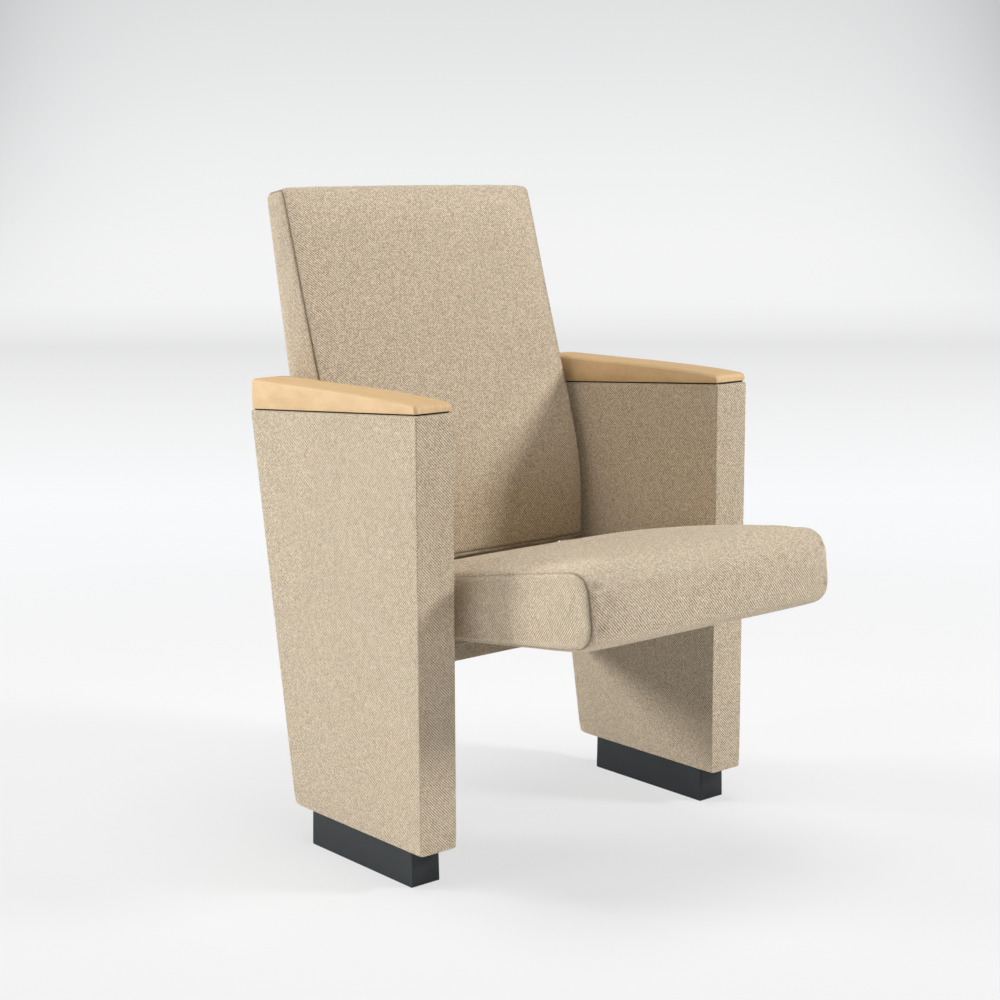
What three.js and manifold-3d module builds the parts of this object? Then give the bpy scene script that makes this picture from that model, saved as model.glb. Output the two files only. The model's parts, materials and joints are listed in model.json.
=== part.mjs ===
// Tip up auditorium seat: a hinged seat and a reclined back between two upholstered arm panels.
// Millimetres. +X runs to the right as seen from the front, +Y to the rear and +Z up from the floor.
// Left and right are as seen from the front. The seat is modelled down, as it is sat on.

import * as THREE from 'three';
import { mergeVertices } from 'three/addons/utils/BufferGeometryUtils.js';
import Module from 'manifold-3d';

const wasm = await Module();
wasm.setup();

// Fits and cuts
const clearance = 0.3; // between pieces that touch
const runningGap = 0.5; // between pieces that turn past each other
const overrun = 4; // how far a cut runs past the face that it opens
const weldTolerance = 0.001; // vertices closer than this are one
const mergeDistance = 0.03; // outline points closer than this are one

// Facets
const roundSteps = 20;
const smallSteps = 10;
const smallRadius = 6; // bores and bars under this radius take fewer facets
const cornerSteps = 4;
const softCornerSteps = 5;
const softStep = 46; // longest straight stretch of a cushion's outline
const edgeSteps = 3;
const bevelSteps = 2;
const widthSteps = 8; // across a cushion, between its rounded ends
const backCurveSteps = 16; // down the front of the back cushion

// Arm panels, one at each side of the chair
const chair = { width: 600 };
const panel = {
  thickness: 60,
  bottom: 50,
  frontTop: 623,
  rearTop: 597,
  topDepth: 373,
  bottomDepth: 284,
  wall: 5, // foam and fabric over the core
  cornerRadius: 3,
  heelRadius: 8,
  edgeRadius: 2.5,
};
const innerFace = chair.width / 2 - panel.thickness;
const panelCentre = chair.width / 2 - panel.thickness / 2;

// Steel plinth foot and the upright that is welded to the plate above it
const foot = {
  width: 45,
  length: 226,
  setback: 27.5,
  wall: 3,
  basePlate: 4,
  cornerRadius: 2,
  anchorRadius: 5.5,
  anchorInset: 42,
};
const upright = { depth: 60, width: 25, wall: 2.5, plate: 4, top: 560 };

// Wooden armrest, its dark spacer and the studs that hold it down
const armrest = {
  top: 641,
  shadowGap: 3,
  frontInset: 1.5,
  rearOverhang: 3,
  noseLength: 52,
  noseDrop: 8,
  noseRadius: 3,
  noseSweep: 90,
  rearRadius: 13,
  sideRadius: 7,
  frontCorner: 4,
  rearCorner: 12,
};
const spacerInset = 4;
const stud = { radius: 4, inPanel: 34, inArmrest: 12, frontSetback: 78, rearSetback: 300 };

// Seat, in its own frame: the origin is the hinge axis and the bottom face is level there
const pivot = { depth: 200, height: 350 };
const tiltDegrees = 7.8;
const seatSideGap = 21;
const seat = {
  halfWidth: innerFace - seatSideGap,
  front: 442,
  rear: 46,
  above: 46, // top edge over the axis at the front
  rearDrop: 17, // how much lower the top edge is at the rear
  below: 54,
  edgeRadius: 9,
  planRadius: 12, // front corners, seen from above
  topCrown: 21,
  frontCrown: 12,
  rearCrown: 2,
  acrossPower: 4, // how level the crown stays towards the sides
  alongPower: 1.6, // and towards the front and the rear
  frontBottomRadius: 27,
  frontTopRadius: 27,
  rearTopRadius: 16,
  rearBottomRadius: 8,
};
const panInset = 8;
const pan = {
  thickness: 12,
  halfWidth: seat.halfWidth - panInset,
  lift: 4,
  frontMargin: 34,
  rearMargin: 8,
  cornerRadius: 30,
};
const underCover = { thickness: 3.4, margin: 22, cornerRadius: 26 };

// Tip up hinge, the same at both sides of the seat
const hingePlate = {
  thickness: 5,
  front: 60,
  rear: 36,
  above: 28,
  below: 44,
  cornerRadius: 12,
};
const hingeArm = {
  thickness: 4,
  hubRadius: 15,
  rim: 5,
  reach: 132,
  height: 20,
  cornerRadius: 8,
};
const tipUpDegrees = 78;
const stop = { orbit: 34, radius: 5, sleeve: 3, centreDegrees: 296, endGap: 1 };
const pivotPin = { radius: 6, headRadius: 9, headHeight: 3, beyondPanel: 22 };
const bush = { wall: 3, flangeRadius: 12, flange: 1.5 };
const runningFit = 0.08; // radial, pin in bush
const spring = {
  wire: 2.4,
  meanRadius: 11.6,
  wholeTurns: 4,
  pitch: 2.95,
  legOverhang: 9,
  stepsPerTurn: 8,
  sides: 5,
};
const gapSamples = 4; // points of the spring's path for each of its steps, where its least gap is measured
const plateScrew = { radius: 2.75, length: 20, headRadius: 5, headHeight: 3 };
const plateScrewPlaces = [
  { name: 'front', depthShare: -0.8, heightShare: 0.56 },
  { name: 'rear', depthShare: 0.72, heightShare: 0.56 },
];
const armBolt = { radius: 3, length: 22, headRadius: 5.5, headHeight: 3.2, first: 74, second: 116 };

// Tie beam between the uprights, behind and below the hinge axis
const beam = {
  depth: 30,
  height: 50,
  wall: 2.5,
  setback: 58,
  drop: 110, // from the axis to its underside
  flange: 5,
  flangeAhead: 5, // of the axis
  flangeMargin: 7,
  flangeRadius: 6,
  lugWidth: 40,
  lugThickness: 6,
  lugOffset: 120,
};
const beamBolt = { radius: 5, length: 22, headRadius: 8, headHeight: 6, setback: 12, spread: 30 };

// Back, in its own frame: the origin is the foot of its rear face and Z runs up that face
const recline = { degrees: 10.34, setback: 108.3, drop: 148 }; // its foot, behind and below the axis
const backSideGap = 11;
const back = {
  halfWidth: innerFace - backSideGap,
  bottom: 150,
  top: 701,
  depth: 90.5,
  edgeRadius: 6,
  crown: 7,
  topCrown: 2,
  acrossPower: 2.6, // how level the crown stays towards the sides
  topRadius: 13,
  bottomRadius: 12,
};
const backPanel = { thickness: 18, sideMargin: 7, topMargin: 12, cornerRadius: 10, edgeRadius: 2 };
const backBoard = { thickness: 12, sideMargin: 17, bottom: 104, topMargin: 9, cornerRadius: 20 };
// The front of the cushion from the top down: how far up it is and how deep the cushion is there
const backFrontShares = [
  { heightShare: 0.873, depthShare: 0.552 },
  { heightShare: 0.695, depthShare: 0.678 },
  { heightShare: 0.509, depthShare: 0.826 },
  { heightShare: 0.332, depthShare: 0.962 },
  { heightShare: 0.227, depthShare: 1 },
  { heightShare: 0.127, depthShare: 0.949 },
];
const backTopDepthShare = 0.458;
const backBottomDepthShare = 0.79;
const bracket = { thickness: 4, sideLeg: 50, frontLeg: 48, height: 38, gapBelowCushion: 4 };
const bracketScrew = {
  radius: 2.75,
  length: 15,
  headRadius: 5,
  headHeight: 3,
  edge: 10,
  sideSetback: 36,
  boardSetback: 36,
};

// Values that follow from the ones above
const radians = THREE.MathUtils.degToRad;
const sideNames = [['left', -1], ['right', 1]];
const beamFront = pivot.depth + beam.setback;
const beamBottom = pivot.height - beam.drop;
const beamBoltDepth = pivot.depth + beamBolt.setback;
const backFoot = [pivot.depth + recline.setback, pivot.height - recline.drop];
const rearSlope = (panel.topDepth - panel.bottomDepth) / (panel.rearTop - panel.bottom);
const topSlope = (panel.frontTop - panel.rearTop) / panel.topDepth;
const plateOuter = innerFace - clearance;
const plateInner = plateOuter - hingePlate.thickness;
const armInner = pan.halfWidth + clearance;
const armOuter = armInner + hingeArm.thickness;
const bushFlangeFace = armOuter + clearance + bush.flange;
const panBottom = -seat.below + pan.lift;
const panMiddle = panBottom + pan.thickness / 2;
const sleeveRadius = stop.radius + clearance + stop.sleeve;
const slotHalf = sleeveRadius + runningGap;
const stopDegrees = stop.centreDegrees - tipUpDegrees / 2;
const stopPlace = [
  stop.orbit * Math.cos(radians(stopDegrees)),
  stop.orbit * Math.sin(radians(stopDegrees)),
];

// Materials
function material(name, color, roughness, metalness) {
  return new THREE.MeshStandardMaterial({ name, color, roughness, metalness });
}

const fabric = material('beige_weave', 0xbfae93, 0.95, 0);
const wood = material('pale_beech', 0xd9b27e, 0.45, 0);
const ply = material('plywood', 0xc8a878, 0.7, 0);
const darkSteel = material('grey_steel', 0x4d5054, 0.5, 0.4);
const zinc = material('zinc_steel', 0xa9acb0, 0.35, 0.9);
const rubber = material('black_rubber', 0x1c1c1d, 0.85, 0);
const nylon = material('black_nylon', 0x262628, 0.5, 0);

// Turns a closed geometry into a solid that can be cut and joined
function toSolid(geometry) {
  const bare = geometry.index ? geometry.toNonIndexed() : geometry.clone();
  bare.deleteAttribute('normal');
  bare.deleteAttribute('uv');
  const merged = mergeVertices(bare, weldTolerance);
  return new wasm.Manifold(new wasm.Mesh({
    numProp: 3,
    vertProperties: Float32Array.from(merged.attributes.position.array),
    triVerts: Uint32Array.from(merged.index.array),
  }));
}

function toGeometry(solid) {
  const { vertProperties, triVerts, numProp } = solid.getMesh();
  const geometry = new THREE.BufferGeometry();
  const places = new Float32Array((vertProperties.length / numProp) * 3);
  for (let i = 0; i < places.length / 3; i += 1) {
    for (let k = 0; k < 3; k += 1) places[i * 3 + k] = vertProperties[i * numProp + k];
  }
  geometry.setAttribute('position', new THREE.BufferAttribute(places, 3));
  geometry.setIndex(Array.from(triVerts));
  return geometry;
}

function cut(geometry, ...tools) {
  let solid = toSolid(geometry);
  for (const tool of tools) solid = solid.subtract(toSolid(tool));
  return toGeometry(solid);
}

function join(geometry, ...others) {
  let solid = toSolid(geometry);
  for (const other of others) solid = solid.add(toSolid(other));
  return toGeometry(solid);
}

function common(geometry, ...others) {
  let solid = toSolid(geometry);
  for (const other of others) solid = solid.intersect(toSolid(other));
  return toGeometry(solid);
}

// Rounds the corners of an anticlockwise outline, with one radius for all or one for each corner
function roundCorners(corners, radius, steps = cornerSteps) {
  const points = [];
  corners.forEach(([x, y], i) => {
    const here = new THREE.Vector2(x, y);
    const before = new THREE.Vector2(...corners.at(i - 1));
    const after = new THREE.Vector2(...corners[(i + 1) % corners.length]);
    const r = Array.isArray(radius) ? radius[i] : radius;
    if (r === 0) {
      points.push(here);
      return;
    }
    const arriving = here.clone().sub(before).normalize();
    const leaving = after.clone().sub(here).normalize();
    const turn = Math.atan2(arriving.cross(leaving), arriving.dot(leaving));
    const start = here.clone().addScaledVector(arriving, -r * Math.tan(Math.abs(turn) / 2));
    const inward = new THREE.Vector2(-arriving.y, arriving.x).multiplyScalar(Math.sign(turn) * r);
    const centre = start.clone().add(inward);
    for (let k = 0; k <= steps; k += 1) {
      points.push(start.clone().rotateAround(centre, (turn * k) / steps));
    }
  });
  return points;
}

function rectangle(left, right, low, high) {
  return [[left, low], [right, low], [right, high], [left, high]];
}

// Extrudes an outline about its own middle plane, with an optional rounded edge
function slab(points, thickness, edge = 0) {
  const outline = points.map((point) => (point.isVector2 ? point : new THREE.Vector2(...point)));
  const geometry = new THREE.ExtrudeGeometry(new THREE.Shape(outline), {
    depth: thickness - 2 * edge,
    bevelEnabled: edge > 0,
    bevelThickness: edge,
    bevelSize: edge,
    bevelOffset: -edge,
    bevelSegments: bevelSteps,
    curveSegments: 1,
  });
  return geometry.translate(0, 0, edge - thickness / 2);
}

const axisX = new THREE.Vector3(1, 0, 0);
const axisY = new THREE.Vector3(0, 1, 0);
const axisZ = new THREE.Vector3(0, 0, 1);

// An outline of depth and height, extruded across the chair
function acrossX(points, thickness, edge = 0) {
  const turn = new THREE.Matrix4().makeBasis(axisY, axisZ, axisX);
  return slab(points, thickness, edge).applyMatrix4(turn);
}

// An outline of width and height, extruded from front to rear
function acrossY(points, thickness, edge = 0) {
  const turn = new THREE.Matrix4().makeBasis(axisX, axisZ, axisY.clone().negate());
  return slab(points, thickness, edge).applyMatrix4(turn);
}

// An outline of width and depth, extruded upwards from a height
function upFrom(points, low, high, edge = 0) {
  return slab(points, high - low, edge).translate(0, 0, (low + high) / 2);
}

// A box between two planes on each axis
function block(x, y, z) {
  const geometry = new THREE.BoxGeometry(x[1] - x[0], y[1] - y[0], z[1] - z[0]);
  return geometry.translate((x[0] + x[1]) / 2, (y[0] + y[1]) / 2, (z[0] + z[1]) / 2);
}

function stepsFor(radius) {
  return radius < smallRadius ? smallSteps : roundSteps;
}

// A round bar along X from one place to another, at a depth and a height
function barX(radius, from, to, depth = 0, height = 0) {
  const geometry = new THREE.CylinderGeometry(radius, radius, Math.abs(to - from), stepsFor(radius));
  return geometry.rotateZ(Math.PI / 2).translate((from + to) / 2, depth, height);
}

function barY(radius, from, to, across, height) {
  const geometry = new THREE.CylinderGeometry(radius, radius, Math.abs(to - from), stepsFor(radius));
  return geometry.translate(across, (from + to) / 2, height);
}

function barZ(radius, from, to, across, depth) {
  const geometry = new THREE.CylinderGeometry(radius, radius, Math.abs(to - from), stepsFor(radius));
  return geometry.rotateX(Math.PI / 2).translate(across, depth, (from + to) / 2);
}

// A turned piece along X: pairs of place and radius, from one end of its axis to the other
function turnedX(profile) {
  const ends = [[profile[0][0], 0], ...profile, [profile.at(-1)[0], 0]];
  const widest = Math.max(...profile.map(([, radius]) => radius));
  const geometry = new THREE.LatheGeometry(ends.map(([x, r]) => new THREE.Vector2(r, x)), stepsFor(widest));
  return geometry.rotateZ(-Math.PI / 2);
}

// A ring along X, between two places and two radii
function ringX(inner, outer, from, to) {
  const spare = Math.sign(to - from) * overrun;
  return cut(barX(outer, from, to), barX(inner, from - spare, to + spare));
}

// A pan head screw that points along the positive axis, its head's seat at the origin
function screw({ radius, length, headRadius, headHeight }) {
  const domeShare = 0.72;
  return turnedX([
    [-headHeight, headRadius * domeShare],
    [-headHeight * domeShare, headRadius],
    [0, headRadius],
    [0, radius],
    [length, radius],
  ]);
}

// Panel outline, set in from its faces, with its own bottom height
function panelCorners(inset, bottom) {
  const rearInset = inset * Math.hypot(1, rearSlope);
  const rearAt = (z) => panel.bottomDepth + (z - panel.bottom) * rearSlope - rearInset;
  const topAt = (y) => panelTop(y) - inset * Math.hypot(1, topSlope);
  const cornerDepth = (rearAt(0) + rearSlope * topAt(0)) / (1 + rearSlope * topSlope);
  return [
    [inset, bottom],
    [rearAt(bottom), bottom],
    [cornerDepth, topAt(cornerDepth)],
    [inset, topAt(inset)],
  ];
}

function panelTop(depth) {
  return panel.frontTop - depth * topSlope;
}

// Holes in the inner side of an arm panel, in the chair's frame: depth, height, radius and reach
function sideHoles() {
  const holes = [];
  const turned = (place) => {
    const [v, w] = place;
    const c = Math.cos(radians(tiltDegrees));
    const s = Math.sin(radians(tiltDegrees));
    return [pivot.depth + v * c + w * s, pivot.height - v * s + w * c];
  };
  holes.push([pivot.depth, pivot.height, pivotPin.radius, pivotPin.beyondPanel]);
  for (const place of plateScrewCentres()) {
    holes.push([...turned(place), plateScrew.radius, plateScrew.length - hingePlate.thickness]);
  }
  for (const height of beamBoltHeights()) {
    holes.push([beamBoltDepth, height, beamBolt.radius, beamBolt.length - beam.flange]);
  }
  for (const [v, w] of bracketSidePlaces()) {
    const [depth, height] = fromBack(v, w);
    holes.push([depth, height, bracketScrew.radius, bracketScrew.length - bracket.thickness]);
  }
  return holes;
}

function boreSide(side) {
  return sideHoles().map(([depth, height, radius, reach]) => {
    const mouth = panelCentre - innerFace + overrun;
    const end = panelCentre - innerFace - reach - clearance * 2;
    return barX(radius + clearance, -side * mouth, -side * end, depth, height);
  });
}

// Arm panels
function footGeometry() {
  const rear = foot.setback + foot.length;
  const top = panel.bottom - clearance;
  const radii = [foot.cornerRadius, foot.cornerRadius, 0, 0];
  const outer = acrossX(roundCorners(rectangle(foot.setback, rear, 0, top), radii), foot.width);
  const half = foot.width / 2 - foot.wall;
  const depths = [foot.setback + foot.wall, rear - foot.wall];
  const inside = block([-half, half], depths, [foot.basePlate, top + overrun]);
  const anchors = [foot.setback + foot.anchorInset, rear - foot.anchorInset];
  const holes = anchors.map((y) => barZ(foot.anchorRadius, -overrun, foot.basePlate + overrun, 0, y));
  return cut(outer, inside, ...holes);
}

function uprightGeometry(side) {
  const half = foot.width / 2;
  const rear = foot.setback + foot.length;
  const plateTop = panel.bottom + upright.plate;
  const plate = block([-half, half], [foot.setback, rear], [panel.bottom, plateTop]);
  const tubeHalf = upright.width / 2;
  const depths = [pivot.depth - upright.depth / 2, pivot.depth + upright.depth / 2];
  const tube = block([-tubeHalf, tubeHalf], depths, [plateTop - upright.plate / 2, upright.top]);
  const bore = block(
    [-tubeHalf + upright.wall, tubeHalf - upright.wall],
    [depths[0] + upright.wall, depths[1] - upright.wall],
    [plateTop, upright.top + overrun],
  );
  return cut(join(plate, tube), bore, ...boreSide(side));
}

function coreGeometry(side) {
  const inset = panel.wall + clearance;
  const bottom = panel.bottom + upright.plate + clearance;
  const outline = roundCorners(panelCorners(inset, bottom), panel.cornerRadius);
  const half = upright.width / 2 + clearance;
  const reach = upright.depth / 2 + clearance;
  const slot = block(
    [-half, half],
    [pivot.depth - reach, pivot.depth + reach],
    [bottom - overrun, upright.top + clearance],
  );
  return cut(acrossX(outline, panel.thickness - 2 * inset), slot, ...boreSide(side), ...studBores());
}

function coverGeometry(side) {
  const radii = [panel.cornerRadius, panel.heelRadius, panel.cornerRadius, panel.cornerRadius];
  const outline = roundCorners(panelCorners(0, panel.bottom), radii);
  const outer = acrossX(outline, panel.thickness, panel.edgeRadius);
  const innerCorners = panelCorners(panel.wall, panel.bottom - overrun);
  const innerRadii = [0, 0, panel.cornerRadius, panel.cornerRadius];
  const inside = acrossX(roundCorners(innerCorners, innerRadii), panel.thickness - 2 * panel.wall);
  return cut(outer, inside, ...boreSide(side), ...studBores());
}

function studPlaces() {
  return [['front', stud.frontSetback], ['rear', stud.rearSetback]];
}

function studBores() {
  return studPlaces().map(([, y]) => {
    const low = panelTop(y) - stud.inPanel - clearance;
    const high = panelTop(y) + armrest.shadowGap + stud.inArmrest + clearance;
    return barZ(stud.radius + clearance, low, high, 0, y);
  });
}

function studGeometry(y) {
  const low = panelTop(y) - stud.inPanel;
  return barZ(stud.radius, low, panelTop(y) + armrest.shadowGap + stud.inArmrest, 0, y);
}

function spacerGeometry() {
  const ends = [spacerInset, panel.topDepth - spacerInset];
  const high = armrest.shadowGap - clearance;
  const outline = [
    [ends[0], panelTop(ends[0]) + clearance],
    [ends[1], panelTop(ends[1]) + clearance],
    [ends[1], panelTop(ends[1]) + high],
    [ends[0], panelTop(ends[0]) + high],
  ];
  return cut(acrossX(outline, panel.thickness - 2 * spacerInset), ...studBores());
}

// A wedge whose level top meets a bottom that follows the panel, rounded in elevation, section and plan
function armrestGeometry() {
  const ends = [armrest.frontInset, panel.topDepth + armrest.rearOverhang];
  const bottomAt = (y) => panelTop(y) + armrest.shadowGap;
  const elevation = [
    [ends[0], bottomAt(ends[0])],
    [ends[1], bottomAt(ends[1])],
    [ends[1], armrest.top],
    [armrest.noseLength, armrest.top],
    [ends[0], armrest.top - armrest.noseDrop],
  ];
  const radii = [0, 0, armrest.rearRadius, armrest.noseSweep, armrest.noseRadius];
  const half = panel.thickness / 2;
  const section = rectangle(-half, half, bottomAt(ends[1]) - overrun, armrest.top);
  const plan = rectangle(-half, half, ...ends);
  const r = armrest.sideRadius;
  const long = 2 * (ends[1] - ends[0]);
  const corners = [armrest.frontCorner, armrest.frontCorner, armrest.rearCorner, armrest.rearCorner];
  const body = common(
    acrossX(roundCorners(elevation, radii, softCornerSteps), panel.thickness),
    acrossY(roundCorners(section, [0, 0, r, r], softCornerSteps), long).translate(0, ends[0], 0),
    upFrom(roundCorners(plan, corners), section[0][1], armrest.top + overrun),
  );
  return cut(body, ...studBores());
}

// Tie beam between the two panels, with end flanges and lugs that the back panel leans on
function beamBoltHeights() {
  const middle = beamBottom + beam.height / 2;
  return [middle - beamBolt.spread / 2, middle + beamBolt.spread / 2];
}

function beamGeometry() {
  const rear = beamFront + beam.depth;
  const top = beamBottom + beam.height;
  const outer = roundCorners(rectangle(beamFront, rear, beamBottom, top), beam.wall);
  const t = beam.wall;
  const inner = rectangle(beamFront + t, rear - t, beamBottom + t, top - t);
  let body = acrossX(outer, 2 * (plateOuter - beam.flange / 2));
  const m = beam.flangeMargin;
  const flange = rectangle(pivot.depth - beam.flangeAhead, rear + m, beamBottom - m, top + m);
  for (const [, side] of sideNames) {
    const plate = acrossX(roundCorners(flange, beam.flangeRadius), beam.flange);
    const radius = beamBolt.radius + clearance;
    const holes = beamBoltHeights().map((z) => barX(radius, -beam.flange, beam.flange, beamBoltDepth, z));
    const placed = cut(plate, ...holes).translate(side * (plateOuter - beam.flange / 2), 0, 0);
    const x = side * beam.lugOffset;
    const middle = beamBottom + beam.height / 2;
    const lug = block(
      [x - beam.lugWidth / 2, x + beam.lugWidth / 2],
      [rear - beam.wall / 2, backFoot[0] + overrun],
      [middle - beam.lugThickness / 2, middle + beam.lugThickness / 2],
    );
    body = join(body, placed, lug);
  }
  const behind = block(
    [-innerFace, innerFace],
    [-backPanel.thickness - clearance, back.depth],
    [-back.bottom, back.top],
  );
  behind.rotateX(-radians(recline.degrees)).translate(0, backFoot[0], backFoot[1]);
  return cut(body, behind, acrossX(inner, 2 * innerFace));
}

// A place in the back's frame, given in the chair's frame
function fromBack(depth, height) {
  const c = Math.cos(radians(recline.degrees));
  const s = Math.sin(radians(recline.degrees));
  return [backFoot[0] + depth * c + height * s, backFoot[1] - depth * s + height * c];
}

// Cushions: one outline repeated across the width, puffed in the middle and rounded at both ends
function finer(points, step) {
  const dense = [];
  points.forEach((point, i) => {
    const next = points[(i + 1) % points.length];
    const pieces = Math.max(1, Math.ceil(point.distanceTo(next) / step));
    for (let k = 0; k < pieces; k += 1) dense.push(point.clone().lerp(next, k / pieces));
  });
  return dense;
}

function outwardNormals(points) {
  return points.map((point, i) => {
    const along = points[(i + 1) % points.length].clone().sub(points.at(i - 1)).normalize();
    return new THREE.Vector2(along.y, -along.x);
  });
}

// Places across the width, with how far the outline is drawn in at each
function stationsAcross(halfWidth, edge) {
  const stations = [];
  for (let k = 0; k <= edgeSteps; k += 1) {
    const a = (k / edgeSteps) * (Math.PI / 2);
    stations.push({ x: -halfWidth + edge * (1 - Math.cos(a)), inset: edge * (1 - Math.sin(a)) });
  }
  const flat = halfWidth - edge;
  for (let k = 1; k < widthSteps; k += 1) {
    stations.push({ x: -flat * Math.cos((Math.PI * k) / widthSteps), inset: 0 });
  }
  const mirrored = stations.slice(0, edgeSteps + 1).map(({ x, inset }) => ({ x: -x, inset }));
  return [...stations, ...mirrored.reverse()];
}

function cushionGeometry(outline, { halfWidth, edgeRadius, acrossPower, planRadius = 0 }, puffAt) {
  const normals = outwardNormals(outline);
  const stations = stationsAcross(halfWidth, edgeRadius);
  const depths = outline.map((point) => point.x);
  const rear = Math.max(...depths);
  const length = rear - Math.min(...depths);
  const places = [];
  for (const { x, inset } of stations) {
    const fullness = 1 - Math.abs(x / halfWidth) ** acrossPower;
    const intoCorner = Math.max(0, Math.abs(x) - halfWidth + planRadius);
    const setback = planRadius - Math.sqrt(Math.max(0, planRadius ** 2 - intoCorner ** 2));
    outline.forEach((point, i) => {
      const shift = puffAt(point, normals[i]) * fullness - inset;
      const depth = point.x + (setback * (rear - point.x)) / length;
      places.push(x, depth + normals[i].x * shift, point.y + normals[i].y * shift);
    });
  }
  const n = outline.length;
  const faces = [];
  for (let s = 0; s + 1 < stations.length; s += 1) {
    for (let i = 0; i < n; i += 1) {
      const a = s * n + i;
      const b = s * n + ((i + 1) % n);
      faces.push(a, b, a + n, b, b + n, a + n);
    }
  }
  const last = (stations.length - 1) * n;
  for (const [a, b, c] of THREE.ShapeUtils.triangulateShape(outline, [])) {
    faces.push(a, c, b, last + a, last + b, last + c);
  }
  const geometry = new THREE.BufferGeometry();
  geometry.setAttribute('position', new THREE.Float32BufferAttribute(places, 3));
  geometry.setIndex(faces);
  return geometry;
}

// Back
function backOutline() {
  const height = back.top - back.bottom;
  const front = backFrontShares.map(({ heightShare, depthShare }) => (
    new THREE.Vector2(-back.depth * depthShare, back.bottom + height * heightShare)
  ));
  const topFront = [-back.depth * backTopDepthShare, back.top];
  const bottomFront = [-back.depth * backBottomDepthShare, back.bottom];
  const ends = [topFront, bottomFront].map((place) => new THREE.Vector2(...place));
  const curve = new THREE.SplineCurve([ends[0], ...front, ends[1]]);
  const along = curve.getSpacedPoints(backCurveSteps).slice(1, -1).map((p) => [p.x, p.y]);
  const corners = [bottomFront, [0, back.bottom], [0, back.top], topFront, ...along];
  const radii = [back.bottomRadius, 0, back.topRadius / 2, back.topRadius, ...along.map(() => 0)];
  return roundCorners(corners, radii, softCornerSteps);
}

function backCushionGeometry() {
  const puffAt = (point, normal) => (
    Math.max(0, -normal.x) * back.crown + Math.max(0, normal.y) * back.topCrown
  );
  const body = cushionGeometry(backOutline(), back, puffAt);
  const half = back.halfWidth - backPanel.sideMargin;
  const seatDepth = backPanel.thickness + backBoard.thickness + 2 * clearance;
  const recess = rectangle(-half, half, back.bottom - overrun, back.top - backPanel.topMargin);
  const radii = [0, 0, backPanel.cornerRadius, backPanel.cornerRadius];
  const tool = acrossY(roundCorners(recess, radii), seatDepth + overrun);
  tool.translate(0, (overrun - seatDepth) / 2, 0);
  return cut(body, tool);
}

function backPanelGeometry() {
  const half = back.halfWidth - backPanel.sideMargin - clearance;
  const outline = rectangle(-half, half, 0, back.top - backPanel.topMargin - clearance);
  const rounded = roundCorners(outline, backPanel.cornerRadius);
  const sheet = acrossY(rounded, backPanel.thickness, backPanel.edgeRadius);
  return sheet.translate(0, -backPanel.thickness / 2, 0);
}

function bracketTop() {
  return back.bottom - bracket.gapBelowCushion;
}

function bracketHeights() {
  return [bracketTop() - bracket.height + bracketScrew.edge, bracketTop() - bracketScrew.edge];
}

function backBoardGeometry() {
  const top = back.top - backPanel.topMargin - backBoard.topMargin;
  const half = back.halfWidth - backBoard.sideMargin;
  const outline = rectangle(-half, half, backBoard.bottom, top);
  const middle = -backPanel.thickness - clearance - backBoard.thickness / 2;
  const rounded = roundCorners(outline, backBoard.cornerRadius);
  const sheet = acrossY(rounded, backBoard.thickness).translate(0, middle, 0);
  const holes = [];
  for (const [, side] of sideNames) {
    const x = side * (plateOuter - bracketScrew.boardSetback);
    const reach = boardFront() + bracketScrew.length - bracket.thickness;
    for (const z of bracketHeights()) {
      holes.push(barY(bracketScrew.radius + clearance, boardFront() - overrun, reach, x, z));
    }
  }
  return cut(sheet, ...holes);
}

function boardFront() {
  return -backPanel.thickness - backBoard.thickness - clearance;
}

// Angle between the arm panel and the back board, below the cushion
function bracketSidePlaces() {
  const front = boardFront() - clearance - bracket.thickness;
  return bracketHeights().map((height) => [front - bracketScrew.sideSetback + bracket.thickness, height]);
}

function bracketGeometry(side) {
  const rear = boardFront() - clearance;
  const outer = side * plateOuter;
  const range = (a, b) => [Math.min(a, b), Math.max(a, b)];
  const heights = [bracketTop() - bracket.height, bracketTop()];
  const t = bracket.thickness;
  const sidePlate = block(range(outer, outer - side * t), [rear - bracket.sideLeg, rear], heights);
  const frontPlate = block(range(outer, outer - side * bracket.frontLeg), [rear - t, rear], heights);
  const radius = bracketScrew.radius + clearance;
  const x = side * (plateOuter - bracketScrew.boardSetback);
  const holes = bracketHeights().map((z) => barY(radius, rear - t - overrun, rear + overrun, x, z));
  for (const [y, z] of bracketSidePlaces()) {
    holes.push(barX(radius, side * (plateOuter + overrun), side * (plateOuter - t - overrun), y, z));
  }
  return cut(join(sidePlate, frontPlate), ...holes);
}

// Seat
function seatOutline() {
  const corners = [
    [-seat.front, -seat.below],
    [seat.rear, -seat.below],
    [seat.rear, seat.above - seat.rearDrop],
    [-seat.front, seat.above],
  ];
  const radii = [seat.frontBottomRadius, seat.rearBottomRadius, seat.rearTopRadius, seat.frontTopRadius];
  return finer(roundCorners(corners, radii, softCornerSteps), softStep);
}

function seatCushionGeometry() {
  const middle = (seat.rear - seat.front) / 2;
  const half = (seat.rear + seat.front) / 2;
  const puffAt = (point, normal) => {
    const lengthwise = 1 - Math.abs((point.x - middle) / half) ** seat.alongPower;
    const top = Math.max(0, normal.y) * seat.topCrown * lengthwise;
    return top + Math.max(0, -normal.x) * seat.frontCrown + Math.max(0, normal.x) * seat.rearCrown;
  };
  const body = cushionGeometry(seatOutline(), seat, puffAt);
  const tools = [panSpace(), underSpace()];
  for (const [, side] of sideNames) tools.push(...hingeSpace(side));
  return cut(body, ...tools);
}

function panOutline(grow) {
  const half = pan.halfWidth + grow;
  const front = -seat.front + pan.frontMargin - grow;
  const outline = rectangle(-half, half, front, seat.rear - pan.rearMargin + grow);
  return roundCorners(outline, pan.cornerRadius);
}

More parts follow.
